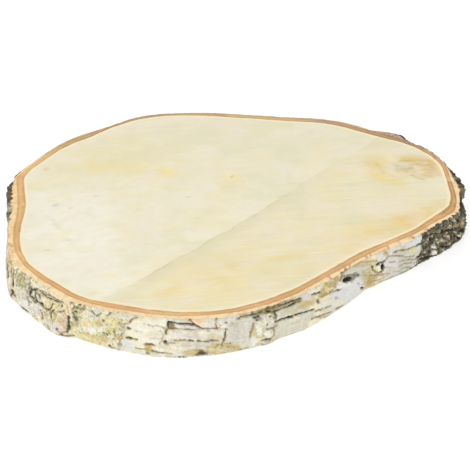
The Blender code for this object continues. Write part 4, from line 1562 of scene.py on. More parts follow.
# the two sides of the face, from the left to the right end
wash((248, 243, 227), 70, 245, 85, 60, 0.85)
wash((248, 243, 225), 110, 285, 70, 26, 0.65)
wash((246, 241, 224), 45, 220, 45, 55, 0.6)
# darker, greyer washes towards the back: partly the wood's own tone and partly painted shade, the face dimmer further
# from the light
wash((237, 226, 187), 120, 160, 78, 27, 0.85)
wash((233, 225, 196), 240, 133, 120, 18, 0.85)
wash((234, 228, 198), 265, 158, 62, 30, 0.65)
wash((233, 226, 199), 330, 140, 50, 20, 0.7)
wash((242, 236, 208), 205, 205, 60, 30, 0.4)
wash((250, 246, 226), 118, 283, 46, 8, 0.6, 27)
wash((245, 240, 214), 210, 231, 60, 7, 0.4, 30)
wash((243, 228, 176), 210, 285, 80, 24, 0.8)
wash((239, 225, 182), 255, 270, 70, 24, 0.55)
wash((241, 229, 192), 300, 235, 70, 30, 0.6)
wash((233, 224, 190), 330, 195, 50, 26, 0.5)
wash((240, 230, 198), 370, 200, 40, 20, 0.5)
wash((236, 227, 196), 415, 195, 36, 20, 0.6)
wash((240, 220, 170), 390, 224, 60, 14, 0.8, 14)
wash((238, 207, 138), 400, 224, 46, 9, 0.8, 18)
wash((236, 206, 144), 425, 213, 22, 6, 0.5, 30)
wash((239, 220, 168), 335, 257, 38, 9, 0.6, 26)
wash((238, 227, 188), 60, 175, 30, 14, 0.4)
# yellow blotches
for x, y, rx, ry, k in (
    (165, 171, 12, 6, 0.55), (170, 173, 7, 4, 0.5), (183, 160, 6, 4, 0.4), (229, 182, 8, 6, 0.5),
    (235, 178, 5, 4, 0.4), (105, 166, 14, 7, 0.30), (138, 170, 10, 6, 0.28), (92, 162, 8, 5, 0.3),
    (219, 279, 9, 4, 0.5), (229, 264, 6, 4, 0.5), (286, 257, 16, 4, 0.45), (179, 289, 6, 3, 0.5),
    (168, 293, 5, 3, 0.4), (175, 270, 8, 3, 0.3), (240, 250, 12, 4, 0.25), (212, 197, 9, 6, 0.2),
    (300, 257, 6, 3, 0.3), (350, 232, 12, 4, 0.35), (372, 226, 14, 5, 0.4), (95, 292, 8, 4, 0.3),
):
    wash((242, 221, 152), x, y, rx, ry, k, 8)
wash((214, 160, 100), 46, 169, 2.6, 1.8, 0.45)
wash((240, 222, 156), 118, 168, 22, 9, 0.3)
wash((238, 218, 140), 160, 174, 9, 6, 0.35, 30)
wash((246, 236, 196), 146, 160, 9, 5, 0.5, 20)
wash((232, 224, 178), 100, 156, 24, 6, 0.4, 12)
wash((246, 238, 206), 122, 182, 12, 4, 0.5)
wash((236, 222, 160), 178, 158, 8, 4, 0.3, -20)
wash((240, 232, 196), 196, 170, 12, 8, 0.3)
wash((250, 236, 176), 228, 174, 3, 3, 0.4)
wash((252, 240, 180), 170, 170, 6, 5, 0.45)
wash((252, 240, 186), 231, 173, 5, 4, 0.35)
wash((240, 206, 130), 166, 293, 12, 3.5, 0.45, 16)
wash((240, 212, 140), 176, 288, 9, 3, 0.4, 8)
wash((241, 216, 146), 222, 280, 12, 4, 0.4, 6)
wash((240, 214, 146), 283, 257, 18, 3.5, 0.4, 8)
wash((236, 218, 154), 226, 262, 16, 6, 0.35, -30)
wash((226, 220, 192), 141, 236, 14, 9, 0.3)
wash((226, 222, 196), 300, 205, 10, 14, 0.25)
wash((214, 214, 186), 303, 213, 3, 9, 0.25, -25)
# the knot at the right
wash((236, 224, 184), 352, 168, 26, 12, 0.5, ragged_by=0.12)
wash((235, 208, 138), 377, 166, 15, 11, 0.9, 0, 0.7, ragged_by=0.12)
wash((238, 216, 134), 390, 180, 16, 6, 0.85, -14, 0.7, ragged_by=0.12)
wash((240, 214, 130), 381, 173, 8, 5, 0.5, ragged_by=0.12)
wash((228, 197, 122), 418, 160.5, 24, 5, 0.9, -6, 0.7, ragged_by=0.12)
wash((225, 198, 128), 431, 167, 14, 10, 0.9, -20, 0.7, ragged_by=0.12)
wash((214, 186, 124), 430, 172, 10, 6, 0.7, -8, ragged_by=0.12)
wash((224, 196, 130), 424, 176, 10, 4, 0.5, 10, ragged_by=0.12)
wash((226, 214, 160), 385, 147, 16, 5, 0.55, ragged_by=0.12)
wash((234, 222, 192), 396, 168.5, 12.5, 6.5, 0.9, -8, 0.5, ragged_by=0.12)
wash((228, 212, 172), 407, 173, 14, 5, 0.8, -10, 0.5, ragged_by=0.12)
wash((214, 198, 150), 408, 168, 8, 3.4, 0.7, -6, ragged_by=0.12)
wash((218, 204, 160), 404, 163, 6, 3, 0.5, ragged_by=0.12)
wash((238, 228, 206), 393, 176, 8, 3, 0.5, ragged_by=0.12)
wash((234, 214, 196), 405, 174, 5, 1.8, 0.6, ragged_by=0.12)
wash((228, 221, 196), 405, 150, 24, 6, 0.5, -18)
# small streaks of ochre and olive in the knot
for tone, points in (
    ((206, 172, 108), [(403, 160.6), (415, 160.9), (428, 161.6), (437, 164)]),
    ((208, 178, 116), [(412, 163.8), (421, 164.2), (433, 165.8)]),
    ((204, 176, 114), [(424, 168.2), (437, 168.8)]),
    ((212, 186, 122), [(376, 162.6), (380, 168), (384, 173)]),
    ((196, 186, 140), [(399, 166.4), (406, 166), (411, 167)]),
    ((186, 178, 134), [(402, 168.6), (408, 168.4)]),
    ((190, 184, 150), [(396, 165), (398, 171)]),
):
    spread = np.full(len(V), 1e9)
    for (ax, ay), (bx, by) in zip(points, points[1:]):
        ux, uy, vx, vy = VP[:, 0] - ax, VP[:, 1] - ay, bx - ax, by - ay
        t = np.clip((ux * vx + uy * vy) / (vx * vx + vy * vy), 0, 1)
        spread = np.minimum(spread, np.hypot((ux - t * vx) * 0.6, uy - t * vy))
    wood_rgb = mix(wood_rgb, linear(*tone), 0.5 * (1 - step(0.3, 2.0, spread)) * top)
# faint clouds of yellower, greener and rosier wood
cloud = fbm(MM * np.array([0.040, 0.060, 0.0]), 751, 4, 0.6)
wood_rgb = mix(wood_rgb, linear(240, 227, 176), 0.30 * step(0.08, 0.55, cloud) * top)
cloud = fbm(MM * np.array([0.045, 0.065, 0.0]) + 5.0, 755, 4, 0.6)
wood_rgb = mix(wood_rgb, linear(226, 222, 186), 0.34 * step(0.10, 0.55, cloud) * top)
wood_rgb = mix(wood_rgb, linear(243, 232, 216), 0.34 * step(0.10, 0.55, -cloud) * top)
# the bright line inside the bark, all the way round
halo = (1 - step(0.2, 3.6, -band)) * (band <= 0.001) * top
wood_rgb = mix(wood_rgb, linear(250, 238, 206), 0.55 * halo)
wood_rgb = mix(wood_rgb, linear(255, 240, 200), 0.55 * halo * step(172, 138, VP[:, 1]))
wood_rgb = mix(
    wood_rgb,
    linear(246, 222, 170),
    0.35 * halo * step(320, 420, VP[:, 0]),
)
# broad, faint growth bands that follow the outline
edge_r = at_angle(R_WOOD, bearing(V))
rho = np.hypot(V[:, 0], V[:, 1]) / edge_r * 150.0
growth = fbm(np.stack([rho / 3.2, 0 * rho, 0 * rho], -1) + 0.15 * fbm(MM / 40.0, 711, 2)[:, None], 713, 3)
wood_rgb = wood_rgb * (1 + 0.010 * growth + 0.012 * fbm(MM / 14.0, 721, 3))[:, None]


def face_line(tone, half, strength, points):
    global wood_rgb
    best = np.full(len(V), 1e9)
    for (ax, ay), (bx, by) in zip(points, points[1:]):
        ux, uy, vx, vy = VP[:, 0] - ax, VP[:, 1] - ay, bx - ax, by - ay
        t = np.clip((ux * vx + uy * vy) / max(vx * vx + vy * vy, 1e-9), 0, 1)
        best = np.minimum(best, np.hypot(ux - t * vx, (uy - t * vy) * 1.2))
    w = (1 - step(half * 0.35, half * 1.6, best)) * top
    wood_rgb = mix(wood_rgb, linear(*tone), w * strength)


for item in FACE_LINES:
    face_line(*item)

# the orange ring's tone: olive-tan at the back, where it is also darkened as painted shade, and browner at the right
inner_rgb = mix(inner_rgb, linear(223, 177, 122), step(120, 20, VP[:, 0]) * top)
inner_rgb = mix(inner_rgb, linear(184, 140, 92), step(385, 446, VP[:, 0]) * top)
at_back = step(172, 138, VP[:, 1]) * top
# tones along the thin back edge, by pixel across: the band's colour with painted shade, darker than at the front
BACK_TONES_AND_SHADE = (
    (40, 206, 166, 118), (60, 184, 150, 100), (75, 186, 158, 98), (95, 178, 154, 102),
    (104, 162, 130, 94), (120, 168, 142, 106), (140, 168, 146, 116), (170, 162, 146, 118),
    (186, 184, 160, 118), (205, 190, 162, 114), (222, 176, 152, 116), (232, 212, 180, 124),
    (250, 198, 170, 122), (275, 200, 172, 122), (292, 204, 162, 122), (310, 186, 156, 122),
    (328, 164, 134, 104), (345, 184, 148, 112), (360, 170, 136, 98), (380, 172, 132, 96),
    (400, 152, 116, 82), (430, 146, 106, 72), (445, 152, 112, 76), (456, 178, 134, 94),
)
back_tones_and_shade = np.array(BACK_TONES_AND_SHADE, float)
ragged_x = VP[:, 0] + 5.0 * fbm(MM / 8.0, 761, 2)
back_tone_and_shade = np.stack(
    [np.interp(ragged_x, back_tones_and_shade[:, 0], back_tones_and_shade[:, k]) for k in (1, 2, 3)], -1
)
inner_rgb = mix(inner_rgb, linear(*back_tone_and_shade.T).T, at_back * 0.95)
inner_rgb = mix(
    inner_rgb,
    linear(216, 190, 138),
    0.7 * top * step(22, 8, np.abs(VP[:, 0] - 180)) * step(250, 300, VP[:, 1]),
)
ring_tone = fbm(MM / 22.0, 731, 3, 0.6)
inner_rgb = mix(inner_rgb, linear(230, 192, 142), 0.8 * step(0.08, 0.5, ring_tone) * (1 - at_back))
inner_rgb = mix(inner_rgb, linear(202, 160, 110), 0.8 * step(0.08, 0.5, -ring_tone) * (1 - at_back))
inner_rgb = mix(
    inner_rgb, linear(226, 164, 122), 0.5 * step(0.15, 0.6, fbm(MM / 14.0, 733, 2)) * (1 - at_back)
)
inner_rgb = mix(inner_rgb, inner_rgb * np.array([1.02, 1.04, 0.92]), 1 - at_back)
outer_rgb = mix(outer_rgb, linear(250, 213, 160), step(60, 10, VP[:, 0]) * top)
outer_rgb = mix(outer_rgb, linear(254, 229, 178), 0.8 * top * step(252, 262, VP[:, 1]) * step(96, 60, VP[:, 0]))
outer_rgb = mix(outer_rgb, linear(240, 206, 154), 0.6 * top * step(34, 14, np.abs(VP[:, 0] - 104)) * step(250, 300, VP[:, 1]))
# the pale outer bark darker at the back, partly its own tone and partly painted shade
outer_rgb = mix(outer_rgb, linear(196, 170, 134), at_back * 0.9)
right_back = step(178, 160, VP[:, 1]) * step(350, 400, VP[:, 0]) * top
outer_rgb = mix(outer_rgb, linear(188, 158, 138), right_back * 0.9)
outer_rgb = mix(
    outer_rgb, linear(104, 86, 70), right_back * 0.85 * step(0.05, 0.35, fbm(MM / 2.6, 739, 3, 0.6))
)
outer_rgb = mix(
    outer_rgb, linear(226, 196, 178), right_back * 0.7 * step(0.05, 0.4, -fbm(MM / 3.4, 743, 3, 0.6))
)
outer_rgb = mix(outer_rgb, linear(254, 232, 186), 0.6 * step(0.1, 0.5, fbm(MM / 5.0, 733, 3)) * (1 - at_back))
outer_rgb = mix(outer_rgb, linear(232, 190, 146), 0.55 * step(0.15, 0.5, fbm(MM / 3.0, 735, 3)) * (1 - at_back))
outer_rgb = mix(outer_rgb, linear(160, 134, 104), 0.55 * at_back * step(0.1, 0.5, fbm(MM / 4.0, 737, 3)))


def rim_mark(tone, half, strength, points):
    """A mark across the pale outer bark, in pixels."""
    global outer_rgb
    best = np.full(len(V), 1e9)
    for (ax, ay), (bx, by) in zip(points, points[1:]):
        ux, uy, vx, vy = VP[:, 0] - ax, VP[:, 1] - ay, bx - ax, by - ay
        t = np.clip((ux * vx + uy * vy) / max(vx * vx + vy * vy, 1e-9), 0, 1)
        best = np.minimum(best, np.hypot(ux - t * vx, uy - t * vy))
    w = (1 - step(half * 0.4, half * 1.7, best)) * (V[:, 2] > THICK - 0.003)
    outer_rgb = mix(outer_rgb, linear(*tone), w * strength)


for tone, half, strength, points in (
    ((196, 134, 96), 0.9, 0.8, [(325, 276), (329.5, 276.6), (331.5, 279.6)]),
    ((150, 112, 70), 1.0, 0.8, [(332.5, 279.5), (332.7, 282.5)]),
    ((196, 132, 88), 1.0, 0.8, [(344, 265), (346, 270.5)]),
    ((196, 132, 88), 1.0, 0.8, [(349, 264), (350.6, 268.4)]),
    ((255, 240, 200), 0.9, 0.7, [(347, 265), (348.4, 269)]),
    ((198, 138, 92), 1.1, 0.8, [(363.6, 252), (366, 256.6), (368.6, 258)]),
    ((198, 138, 92), 1.0, 0.8, [(368.6, 250.4), (370.8, 256)]),
    ((255, 244, 208), 0.9, 0.7, [(366.6, 251.6), (369, 257)]),
    ((198, 140, 96), 1.0, 0.8, [(386, 243.6), (388.4, 248)]),
    ((255, 240, 204), 0.8, 0.6, [(389, 243), (391, 247.6)]),
    ((206, 150, 104), 1.0, 0.6, [(397.6, 239.6), (399.6, 243.6)]),
    ((170, 130, 84), 1.0, 0.8, [(412, 236.6), (415, 238.6)]),
    ((176, 134, 92), 1.0, 0.6, [(408.6, 234.8), (409.6, 238.6)]),
    ((168, 140, 100), 0.9, 0.75, [(7.6, 243.4), (10, 244.6), (13.2, 246.6)]),
    ((150, 120, 84), 0.8, 0.6, [(425.6, 229), (430, 231.4)]),
    ((120, 92, 60), 1.0, 0.8, [(434, 226.6), (436.6, 230)]),
    ((190, 150, 106), 0.8, 0.5, [(281, 303), (284, 300.6)]),
    ((214, 150, 116), 0.9, 0.5, [(280.6, 302), (285, 301.6)]),
    ((170, 140, 100), 0.8, 0.6, [(48, 288.4), (49, 291)]),
    ((150, 124, 84), 0.8, 0.6, [(71, 302.4), (71.4, 305)]),
    ((255, 244, 206), 1.3, 0.8, [(434, 224.8), (440, 225.2)]),
    ((255, 240, 204), 1.4, 0.7, [(449, 177.6), (450.6, 179.6)]),
    ((52, 44, 34), 1.0, 0.85, [(400, 135.2), (403, 137), (405.6, 139.4)]),
    ((200, 150, 104), 0.9, 0.5, [(452, 183), (454, 187)]),
    ((206, 160, 120), 0.9, 0.5, [(12, 252), (13.5, 257)]),
    ((216, 160, 130), 0.9, 0.4, [(10.5, 249), (13.5, 252)]),
    ((196, 150, 100), 0.9, 0.5, [(125, 312.5), (128, 313.5)]),
    ((205, 160, 112), 0.9, 0.5, [(238, 314.5), (243, 313.6)]),
):
    rim_mark(tone, half, strength, points)

# the underside is the same wood, plainer and a little greyer
under = (V[:, 2] < THICK * 0.5) & (band < 1)
wood_rgb[under] = linear(232, 222, 192) * (1 + 0.03 * fbm(MM[under] / 18.0, 741, 3))[:, None]

is_wood = band <= 1.0
final_rgb = np.where(is_wood[:, None], wood_rgb, colour)

# how the shader's streaks run around the ring
ring_r = GIRTH / math.tau
arc_here = np.interp(bearing(V), np.append(deg, 360.0), ARC) / GIRTH * math.tau
flow = np.stack(
    [ring_r * np.cos(arc_here), ring_r * np.sin(arc_here), np.clip(band, -2, 3) * 6.0], -1
)

crack_all = np.full(len(V), 3.0)
grit_all = np.zeros(len(V))
wall_ids = slice(WALL_AT * N, (WALL_AT + WALL_ROWS) * N)
crack_all[wall_ids] = np.clip(line_depth, -3, 3).ravel()
grit_all[wall_ids] = grit.ravel()
grit_all[(WALL_AT - 2) * N : WALL_AT * N] = np.tile(grit[0], 2)

mesh = bpy.data.meshes.new("wood_slice_look")
mesh.from_pydata(
    [tuple(v) for v in V],
    [],
    [tuple(int(v) for v in q) for q in quads] + [tuple(int(v) for v in t) for t in tri],
)
mesh.validate()
mesh.update()
mesh.shade_smooth()


def scalar(name, values):
    mesh.attributes.new(name, "FLOAT", "POINT").data.foreach_set(
        "value", np.asarray(values, np.float32)
    )


def vector(name, values):
    mesh.attributes.new(name, "FLOAT_VECTOR", "POINT").data.foreach_set(
        "vector", np.asarray(values, np.float32).ravel()
    )


def tones(name, values):
    rgba = np.concatenate([np.clip(values, 0, 1), np.ones((len(V), 1))], 1)
    mesh.attributes.new(name, "FLOAT_COLOR", "POINT").data.foreach_set(
        "color", rgba.astype(np.float32).ravel()
    )


scalar("band", band)
cut_k = step(100, 150, VP[:, 0]) * (1 - 0.55 * step(260, 330, VP[:, 0]))
cut_k = cut_k * np.clip(1 + 0.6 * fbm(MM / 16.0, 771, 2), 0.3, 1.4)
scalar("cutk", np.where(under, 0.0, cut_k))
scalar("cut", np.where(under, 60.0, np.clip(cut + 0.8 * fbm(MM / 9.0, 773, 2), -60, 60)))
scalar("crack", crack_all)
scalar("grit", grit_all)
vector("flow", flow)
tones("tint", final_rgb)
tones("ring_inner", inner_rgb)
tones("ring_outer", outer_rgb)

# ---------------------------------------------------------------------------
# Flat layout of the surface: the sawn face, the bark in three strips, the underside
# ---------------------------------------------------------------------------
LOW_AT = WALL_AT + WALL_ROWS
flat = V[:, :2].copy()
for chain in ((WALL_AT - 3, WALL_AT - 2, WALL_AT - 1), (LOW_AT + 2, LOW_AT + 1, LOW_AT)):
    for inner, outer in zip(chain, chain[1:]):
        gone = np.linalg.norm(vert_list[outer] - vert_list[inner], axis=1) + 0.0002
        flat[outer * N : (outer + 1) * N] = (
            flat[inner * N : (inner + 1) * N] + NORMAL[:, :2] * gone[:, None]
        )
row_of, col_of = quads[:, 0] // N, quads[:, 0] % N
is_strip = (row_of >= WALL_AT - 1) & (row_of < LOW_AT)
is_low = row_of >= LOW_AT


def island(points, left, bottom, width, height, turned):
    """Scales points to a rectangle given in 1024ths, keeping their proportions.

    The underside is seen from below, so its two axes change places."""
    if turned:
        points = points[..., ::-1]
    low = points.reshape(-1, 2).min(0)
    size = points.reshape(-1, 2).max(0) - low
    scale = min(width / size[0], height / size[1])
    return ((points - low) * scale + np.array([left, bottom])) / 1024.0


quad_uv = np.zeros((len(quads), 4, 2))
tri_uv = np.zeros((len(tri), 3, 2))
upper = np.concatenate([flat[quads[~is_strip & ~is_low]].reshape(-1, 2), flat[tri[:first_bottom]].reshape(-1, 2)])
placed = island(upper, 3, 3, 776, 645, False)
cutoff = 4 * int((~is_strip & ~is_low).sum())
quad_uv[~is_strip & ~is_low] = placed[:cutoff].reshape(-1, 4, 2)
tri_uv[:first_bottom] = placed[cutoff:].reshape(-1, 3, 2)
lower = np.concatenate([flat[quads[is_low]].reshape(-1, 2), flat[tri[first_bottom:]].reshape(-1, 2)])
placed = island(lower, 784, 3, 236, 640, True)
cutoff = 4 * int(is_low.sum())
quad_uv[is_low] = placed[:cutoff].reshape(-1, 4, 2)
tri_uv[first_bottom:] = placed[cutoff:].reshape(-1, 3, 2)

drop = [
    np.linalg.norm(vert_list[r + 1] - vert_list[r], axis=1).mean() + 1e-5
    for r in range(WALL_AT - 1, LOW_AT)
]
down = np.concatenate([[0.0], np.cumsum(drop)]) / sum(drop)
arcs = np.append(col_arc, GIRTH)
third = col_of * 3 // N
first_col = np.array([np.nonzero(np.arange(N) * 3 // N == k)[0][0] for k in range(3)] + [N])
start, stop = arcs[first_col[third]], arcs[first_col[third + 1]]
for corner, (dr, dc) in enumerate(((0, 0), (1, 0), (1, 1), (0, 1))):
    across = 3 + 1018 * (arcs[col_of + dc] - start) / (stop - start)
    at_row = np.clip(row_of + dr - (WALL_AT - 1), 0, len(down) - 1)
    upward = 656 + 123 * third + 117 * (1 - down[at_row])
    quad_uv[is_strip, corner] = np.stack([across, upward], -1)[is_strip] / 1024.0

layer = mesh.uv_layers.new(name="OFBake")
if len(mesh.polygons) == len(quads) + len(tri):
    layer.data.foreach_set(
        "uv", np.concatenate([quad_uv.ravel(), tri_uv.ravel()]).astype(np.float32)
    )
else:
    mesh.uv_layers.remove(layer)
    print("the mesh has lost faces, so it goes without a layout")

slab = bpy.data.objects.new("wood_slice_look", mesh)
bpy.context.scene.collection.objects.link(slab)

# ---------------------------------------------------------------------------
# Material
# ---------------------------------------------------------------------------
mat = bpy.data.materials.new("wood_and_bark")
mat.use_nodes = True
tree = mat.node_tree
bsdf = tree.nodes["Principled BSDF"]


def put(socket, value):
    if isinstance(value, bpy.types.NodeSocket):
        tree.links.new(value, socket)
    elif value is not None:
        socket.default_value = value


def attribute(name, kind="Fac"):
    node = tree.nodes.new("ShaderNodeAttribute")
    node.attribute_name = name
    return node.outputs[kind]


def calc(op, a, b=None, c=None, clamp=False):
    node = tree.nodes.new("ShaderNodeMath")
    node.operation = op
    node.use_clamp = clamp
    put(node.inputs[0], a)
    put(node.inputs[1], b)
    put(node.inputs[2], c)
    return node.outputs[0]


def ramp_value(x, low, high, to_low=0.0, to_high=1.0):
    node = tree.nodes.new("ShaderNodeMapRange")
    node.interpolation_type = "SMOOTHSTEP"
    put(node.inputs["Value"], x)
    node.inputs["From Min"].default_value = low
    node.inputs["From Max"].default_value = high
    node.inputs["To Min"].default_value = to_low
    node.inputs["To Max"].default_value = to_high
    return node.outputs["Result"]


def blend(factor, a, b, kind="MIX"):
    node = tree.nodes.new("ShaderNodeMix")
    node.data_type = "RGBA"
    node.blend_type = kind
    node.clamp_factor = True
    put(node.inputs["Factor"], factor)
    put(node.inputs["A"], a)
    put(node.inputs["B"], b)
    return node.outputs["Result"]


def scaled(vector_socket, scale, turn=0.0):
    node = tree.nodes.new("ShaderNodeMapping")
    node.vector_type = "POINT"
    put(node.inputs["Vector"], vector_socket)
    node.inputs["Scale"].default_value = scale
    node.inputs["Rotation"].default_value = (0, 0, turn)
    return node.outputs["Vector"]


def noise(vector_socket, scale=1.0, detail=3.0, rough=0.55):
    node = tree.nodes.new("ShaderNodeTexNoise")
    node.noise_dimensions = "3D"
    put(node.inputs["Vector"], vector_socket)
    node.inputs["Scale"].default_value = scale
    node.inputs["Detail"].default_value = detail
    node.inputs["Roughness"].default_value = rough
    return node.outputs["Fac"]


def times(colour_socket, factor_socket):
    """A colour made lighter or darker by a factor."""
    node = tree.nodes.new("ShaderNodeVectorMath")
    node.operation = "SCALE"
    put(node.inputs[0], colour_socket)
    put(node.inputs["Scale"], factor_socket)
    return node.outputs["Vector"]


here = tree.nodes.new("ShaderNodeTexCoord").outputs["Object"]
flow_v = attribute("flow", "Vector")
band_s = attribute("band")
tint_c = attribute("tint", "Color")
inner_c = attribute("ring_inner", "Color")
outer_c = attribute("ring_outer", "Color")
crack_s = attribute("crack")
grit_s = attribute("grit")
cut_s = attribute("cut")

# wood: fine pores, and saw marks that run nearly across, plainer on one side of the cut
pores = noise(here, 1150.0, 3.0, 0.7)
warped = tree.nodes.new("ShaderNodeVectorMath")
warped.operation = "MULTIPLY_ADD"
drift = tree.nodes.new("ShaderNodeTexNoise")
drift.inputs["Scale"].default_value = 14.0
drift.inputs["Detail"].default_value = 1.0
put(drift.inputs["Vector"], here)
put(warped.inputs[0], drift.outputs["Color"])
warped.inputs[1].default_value = (0.006, 0.006, 0.0)
put(warped.inputs[2], here)
sawn = scaled(warped.outputs["Vector"], (1.0, 1.0, 1.0), math.radians(-8))
saw = noise(scaled(sawn, (16.0, 560.0, 1.0)), 1.0, 3.0, 0.6)
saw_broad = noise(scaled(sawn, (11.0, 150.0, 1.0)), 1.0, 3.0, 0.55)
upper_way = scaled(warped.outputs["Vector"], (1.0, 1.0, 1.0), math.radians(-24))
saw_left = noise(scaled(upper_way, (24.0, 300.0, 1.0)), 1.0, 3.0, 0.6)
cut_k = attribute("cutk")
side = ramp_value(cut_s, -0.7, 0.7)
streak = calc("MULTIPLY", calc("SUBTRACT", saw, 0.5), 0.17)
streak = calc("ADD", streak, calc("MULTIPLY", calc("SUBTRACT", saw_broad, 0.5), 0.16))
where_marked = ramp_value(noise(here, 22.0, 2.0, 0.5), 0.35, 0.62, 0.35, 1.0)
streak = calc("MULTIPLY", streak, calc("MULTIPLY", where_marked, ramp_value(side, 0.0, 1.0, 0.30, 1.0)))
streak = calc(
    "ADD",
    streak,
    calc("MULTIPLY", calc("SUBTRACT", saw_left, 0.5), 0.06),
)
fine = calc("MULTIPLY", calc("SUBTRACT", pores, 0.5), 0.10)
wood_gain = calc("ADD", calc("ADD", streak, fine), 1.0)
wood_c = times(tint_c, wood_gain)
# the golden tone of the streaks, and faint stains of other tones
wood_c = blend(
    calc("MULTIPLY", ramp_value(saw_broad, 0.50, 0.70), calc("MULTIPLY", side, 0.26)),
    wood_c,
    (*linear(238, 216, 160), 1),
)
bright = calc("MULTIPLY", ramp_value(band_s, -3.0, -0.9), ramp_value(noise(here, 90.0, 2.0, 0.5), 0.3, 0.6, 0.35, 0.85))
stain = noise(here, 62.0, 4.0, 0.6)
wood_c = blend(calc("MULTIPLY", ramp_value(stain, 0.53, 0.70), 0.30), wood_c, (*linear(240, 224, 170), 1))
wood_c = blend(
    calc("MULTIPLY", ramp_value(stain, 0.47, 0.32), 0.26), wood_c, (*linear(228, 223, 196), 1)
)
wood_c = blend(bright, wood_c, (*linear(254, 238, 202), 1))
# the old saw cut: the wood beyond it lies a little in shade, most beside the line
shade = calc("MULTIPLY", side, ramp_value(cut_s, 0.0, 15.0, 1.0, 0.0))
shade = calc("MULTIPLY", shade, cut_k)
wood_c = blend(calc("MULTIPLY", shade, 0.48), wood_c, (*linear(224, 215, 178), 1))
cut_line = calc("SUBTRACT", 1.0, ramp_value(calc("ABSOLUTE", calc("SUBTRACT", cut_s, 0.6)), 0.1, 1.0))
broken = ramp_value(noise(here, 160.0, 2.0, 0.6), 0.40, 0.62, 0.25, 1.0)
wood_c = blend(
    calc("MULTIPLY", calc("MULTIPLY", cut_line, broken), calc("MULTIPLY", cut_k, 0.30)),
    wood_c,
    (*linear(196, 184, 146), 1),
)

# the rings: streaks that run along them
along = noise(scaled(flow_v, (0.10, 0.10, 0.50)), 1.0, 4.0, 0.6)
along_fine = noise(scaled(flow_v, (0.34, 0.34, 3.2)), 1.0, 3.0, 0.65)
inner_gain = calc(
    "ADD",
    calc(
        "ADD",
        calc("MULTIPLY", calc("SUBTRACT", along, 0.5), 0.80),
        calc("MULTIPLY", calc("SUBTRACT", along_fine, 0.5), 0.80),
    ),
    1.0,
)
ring_c = times(inner_c, inner_gain)
dusk = calc("SUBTRACT", 1.0, ramp_value(band_s, 0.0, 0.34))
ring_c = blend(calc("MULTIPLY", dusk, 0.55), ring_c, (*linear(182, 148, 102), 1))
pale_mid = calc("MULTIPLY", ramp_value(band_s, 0.30, 0.52), ramp_value(band_s, 0.80, 0.58))
ring_c = blend(calc("MULTIPLY", pale_mid, 0.35), ring_c, (*linear(238, 196, 148), 1))
dusk_out = calc("MULTIPLY", ramp_value(band_s, 0.66, 0.95), ramp_value(along, 0.42, 0.60))
ring_c = blend(calc("MULTIPLY", dusk_out, 0.45), ring_c, (*linear(184, 138, 88), 1))
outer_gain = calc(
    "ADD",
    calc(
        "ADD",
        calc("MULTIPLY", calc("SUBTRACT", along_fine, 0.5), 0.26),
        calc("MULTIPLY", calc("SUBTRACT", noise(here, 900.0, 3.0, 0.6), 0.5), 0.20),
    ),
    1.0,
)
pale_c = times(outer_c, outer_gain)

# bark: grit, and cracks with a ragged edge
grain = noise(here, 1100.0, 4.0, 0.68)
speck = noise(here, 2300.0, 2.0, 0.6)
grain_gain = calc(
    "ADD",
    calc("MULTIPLY", calc("SUBTRACT", grain, 0.5), calc("MULTIPLY_ADD", grit_s, 0.75, 0.22)),
    1.0,
)
bark_c = times(tint_c, grain_gain)
specks = calc("MULTIPLY", ramp_value(speck, 0.60, 0.70), calc("MULTIPLY_ADD", grit_s, 0.45, 0.08))
bark_c = blend(specks, bark_c, (*linear(92, 80, 60), 1))
crack_edge = calc("ADD", crack_s, calc("MULTIPLY", calc("SUBTRACT", noise(here, 1300.0, 3.0, 0.6), 0.5), 0.9))
crack_w = calc("SUBTRACT", 1.0, ramp_value(crack_edge, -0.25, 0.25))
bark_c = blend(calc("MULTIPLY", crack_w, 0.75), bark_c, (*linear(38, 32, 24), 1))

# from wood to bark across the sawn edge
wobble = calc(
    "ADD",
    calc("MULTIPLY", calc("SUBTRACT", noise(here, 210.0, 2.0, 0.5), 0.5), 0.22),
    calc("MULTIPLY", calc("SUBTRACT", noise(here, 800.0, 2.0, 0.6), 0.5), 0.16),
)
place = calc("ADD", band_s, wobble)
body_c = blend(ramp_value(place, -0.05, 0.09), wood_c, ring_c)
body_c = blend(ramp_value(place, 0.93, 1.08), body_c, pale_c)
place_out = calc("ADD", calc("ADD", band_s, wobble), wobble)
body_c = blend(ramp_value(place_out, 1.98, 2.22), body_c, bark_c)
put(bsdf.inputs["Base Color"], body_c)

is_bark = ramp_value(place_out, 1.98, 2.22)
rough = calc("MULTIPLY_ADD", is_bark, 0.22, 0.60)
rough = calc("ADD", rough, calc("MULTIPLY", calc("SUBTRACT", grain, 0.5), 0.18))
put(bsdf.inputs["Roughness"], rough)
bsdf.inputs["Specular IOR Level"].default_value = 0.25

height = calc(
    "ADD",
    calc("MULTIPLY", calc("MULTIPLY", is_bark, grain), calc("MULTIPLY_ADD", grit_s, 0.8, 0.25)),
    calc("MULTIPLY", calc("SUBTRACT", 1.0, is_bark), calc("ADD", calc("MULTIPLY", saw, 0.10), calc("MULTIPLY", pores, 0.10))),
)
height = calc("SUBTRACT", height, calc("MULTIPLY", crack_w, 0.8))
bump = tree.nodes.new("ShaderNodeBump")
bump.inputs["Strength"].default_value = 0.55
bump.inputs["Distance"].default_value = 0.0005
put(bump.inputs["Height"], height)
put(bsdf.inputs["Normal"], bump.outputs["Normal"])
mesh.materials.append(mat)

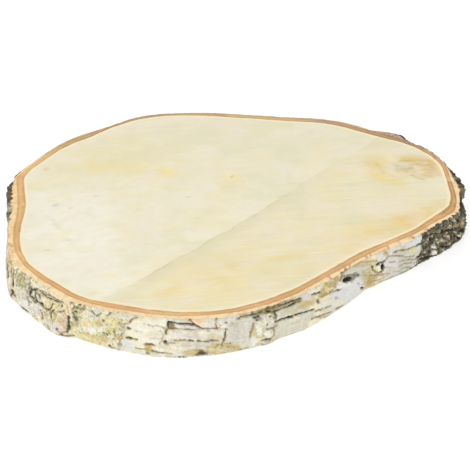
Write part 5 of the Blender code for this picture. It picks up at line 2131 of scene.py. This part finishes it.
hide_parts("wood_slice")
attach(slab, "root")

# ---------------------------------------------------------------------------
# Floor and light
# ---------------------------------------------------------------------------
floor_mesh = bpy.data.meshes.new("floor")
floor_mesh.from_pydata([(-60, -60, 0), (60, -60, 0), (60, 60, 0), (-60, 60, 0)], [], [(0, 1, 2, 3)])
floor = bpy.data.objects.new("floor", floor_mesh)
floor.location = (0, 0, -0.0004)
bpy.context.scene.collection.objects.link(floor)
paper = bpy.data.materials.new("floor_white")
paper.use_nodes = True
sh = paper.node_tree.nodes["Principled BSDF"]
sh.inputs["Base Color"].default_value = (0.5, 0.5, 0.5, 1)
sh.inputs["Roughness"].default_value = 0.9
sh.inputs["Emission Color"].default_value = (1, 1, 1, 1)
sh.inputs["Emission Strength"].default_value = 0.60
floor_mesh.materials.append(paper)

world = bpy.data.worlds.new("studio")
world.use_nodes = True
sky = world.node_tree.nodes["Background"]
sky.inputs["Color"].default_value = (1, 1, 1, 1)
# white near the horizon, so that it runs into the floor, and dimmer overhead
sky_at = world.node_tree.nodes.new("ShaderNodeTexCoord")
sky_xyz = world.node_tree.nodes.new("ShaderNodeSeparateXYZ")
sky_range = world.node_tree.nodes.new("ShaderNodeMapRange")
for name, value in (("From Min", 0.40), ("From Max", 0.75), ("To Min", 1.02), ("To Max", 0.705)):
    sky_range.inputs[name].default_value = value
world.node_tree.links.new(sky_at.outputs["Generated"], sky_xyz.inputs["Vector"])
world.node_tree.links.new(sky_xyz.outputs["Z"], sky_range.inputs["Value"])
world.node_tree.links.new(sky_range.outputs["Result"], sky.inputs["Strength"])
bpy.context.scene.world = world

sun = bpy.data.lights.new("key", "SUN")
sun.energy = 0.65
sun.angle = math.radians(35)
sun.color = (1.0, 0.985, 0.96)
key = bpy.data.objects.new("key", sun)
key.rotation_mode = "QUATERNION"
key.rotation_quaternion = Vector((0.35, 0.75, -1.15)).to_track_quat("-Z", "Y")
bpy.context.scene.collection.objects.link(key)
bpy.context.scene.view_settings.view_transform = "Standard"
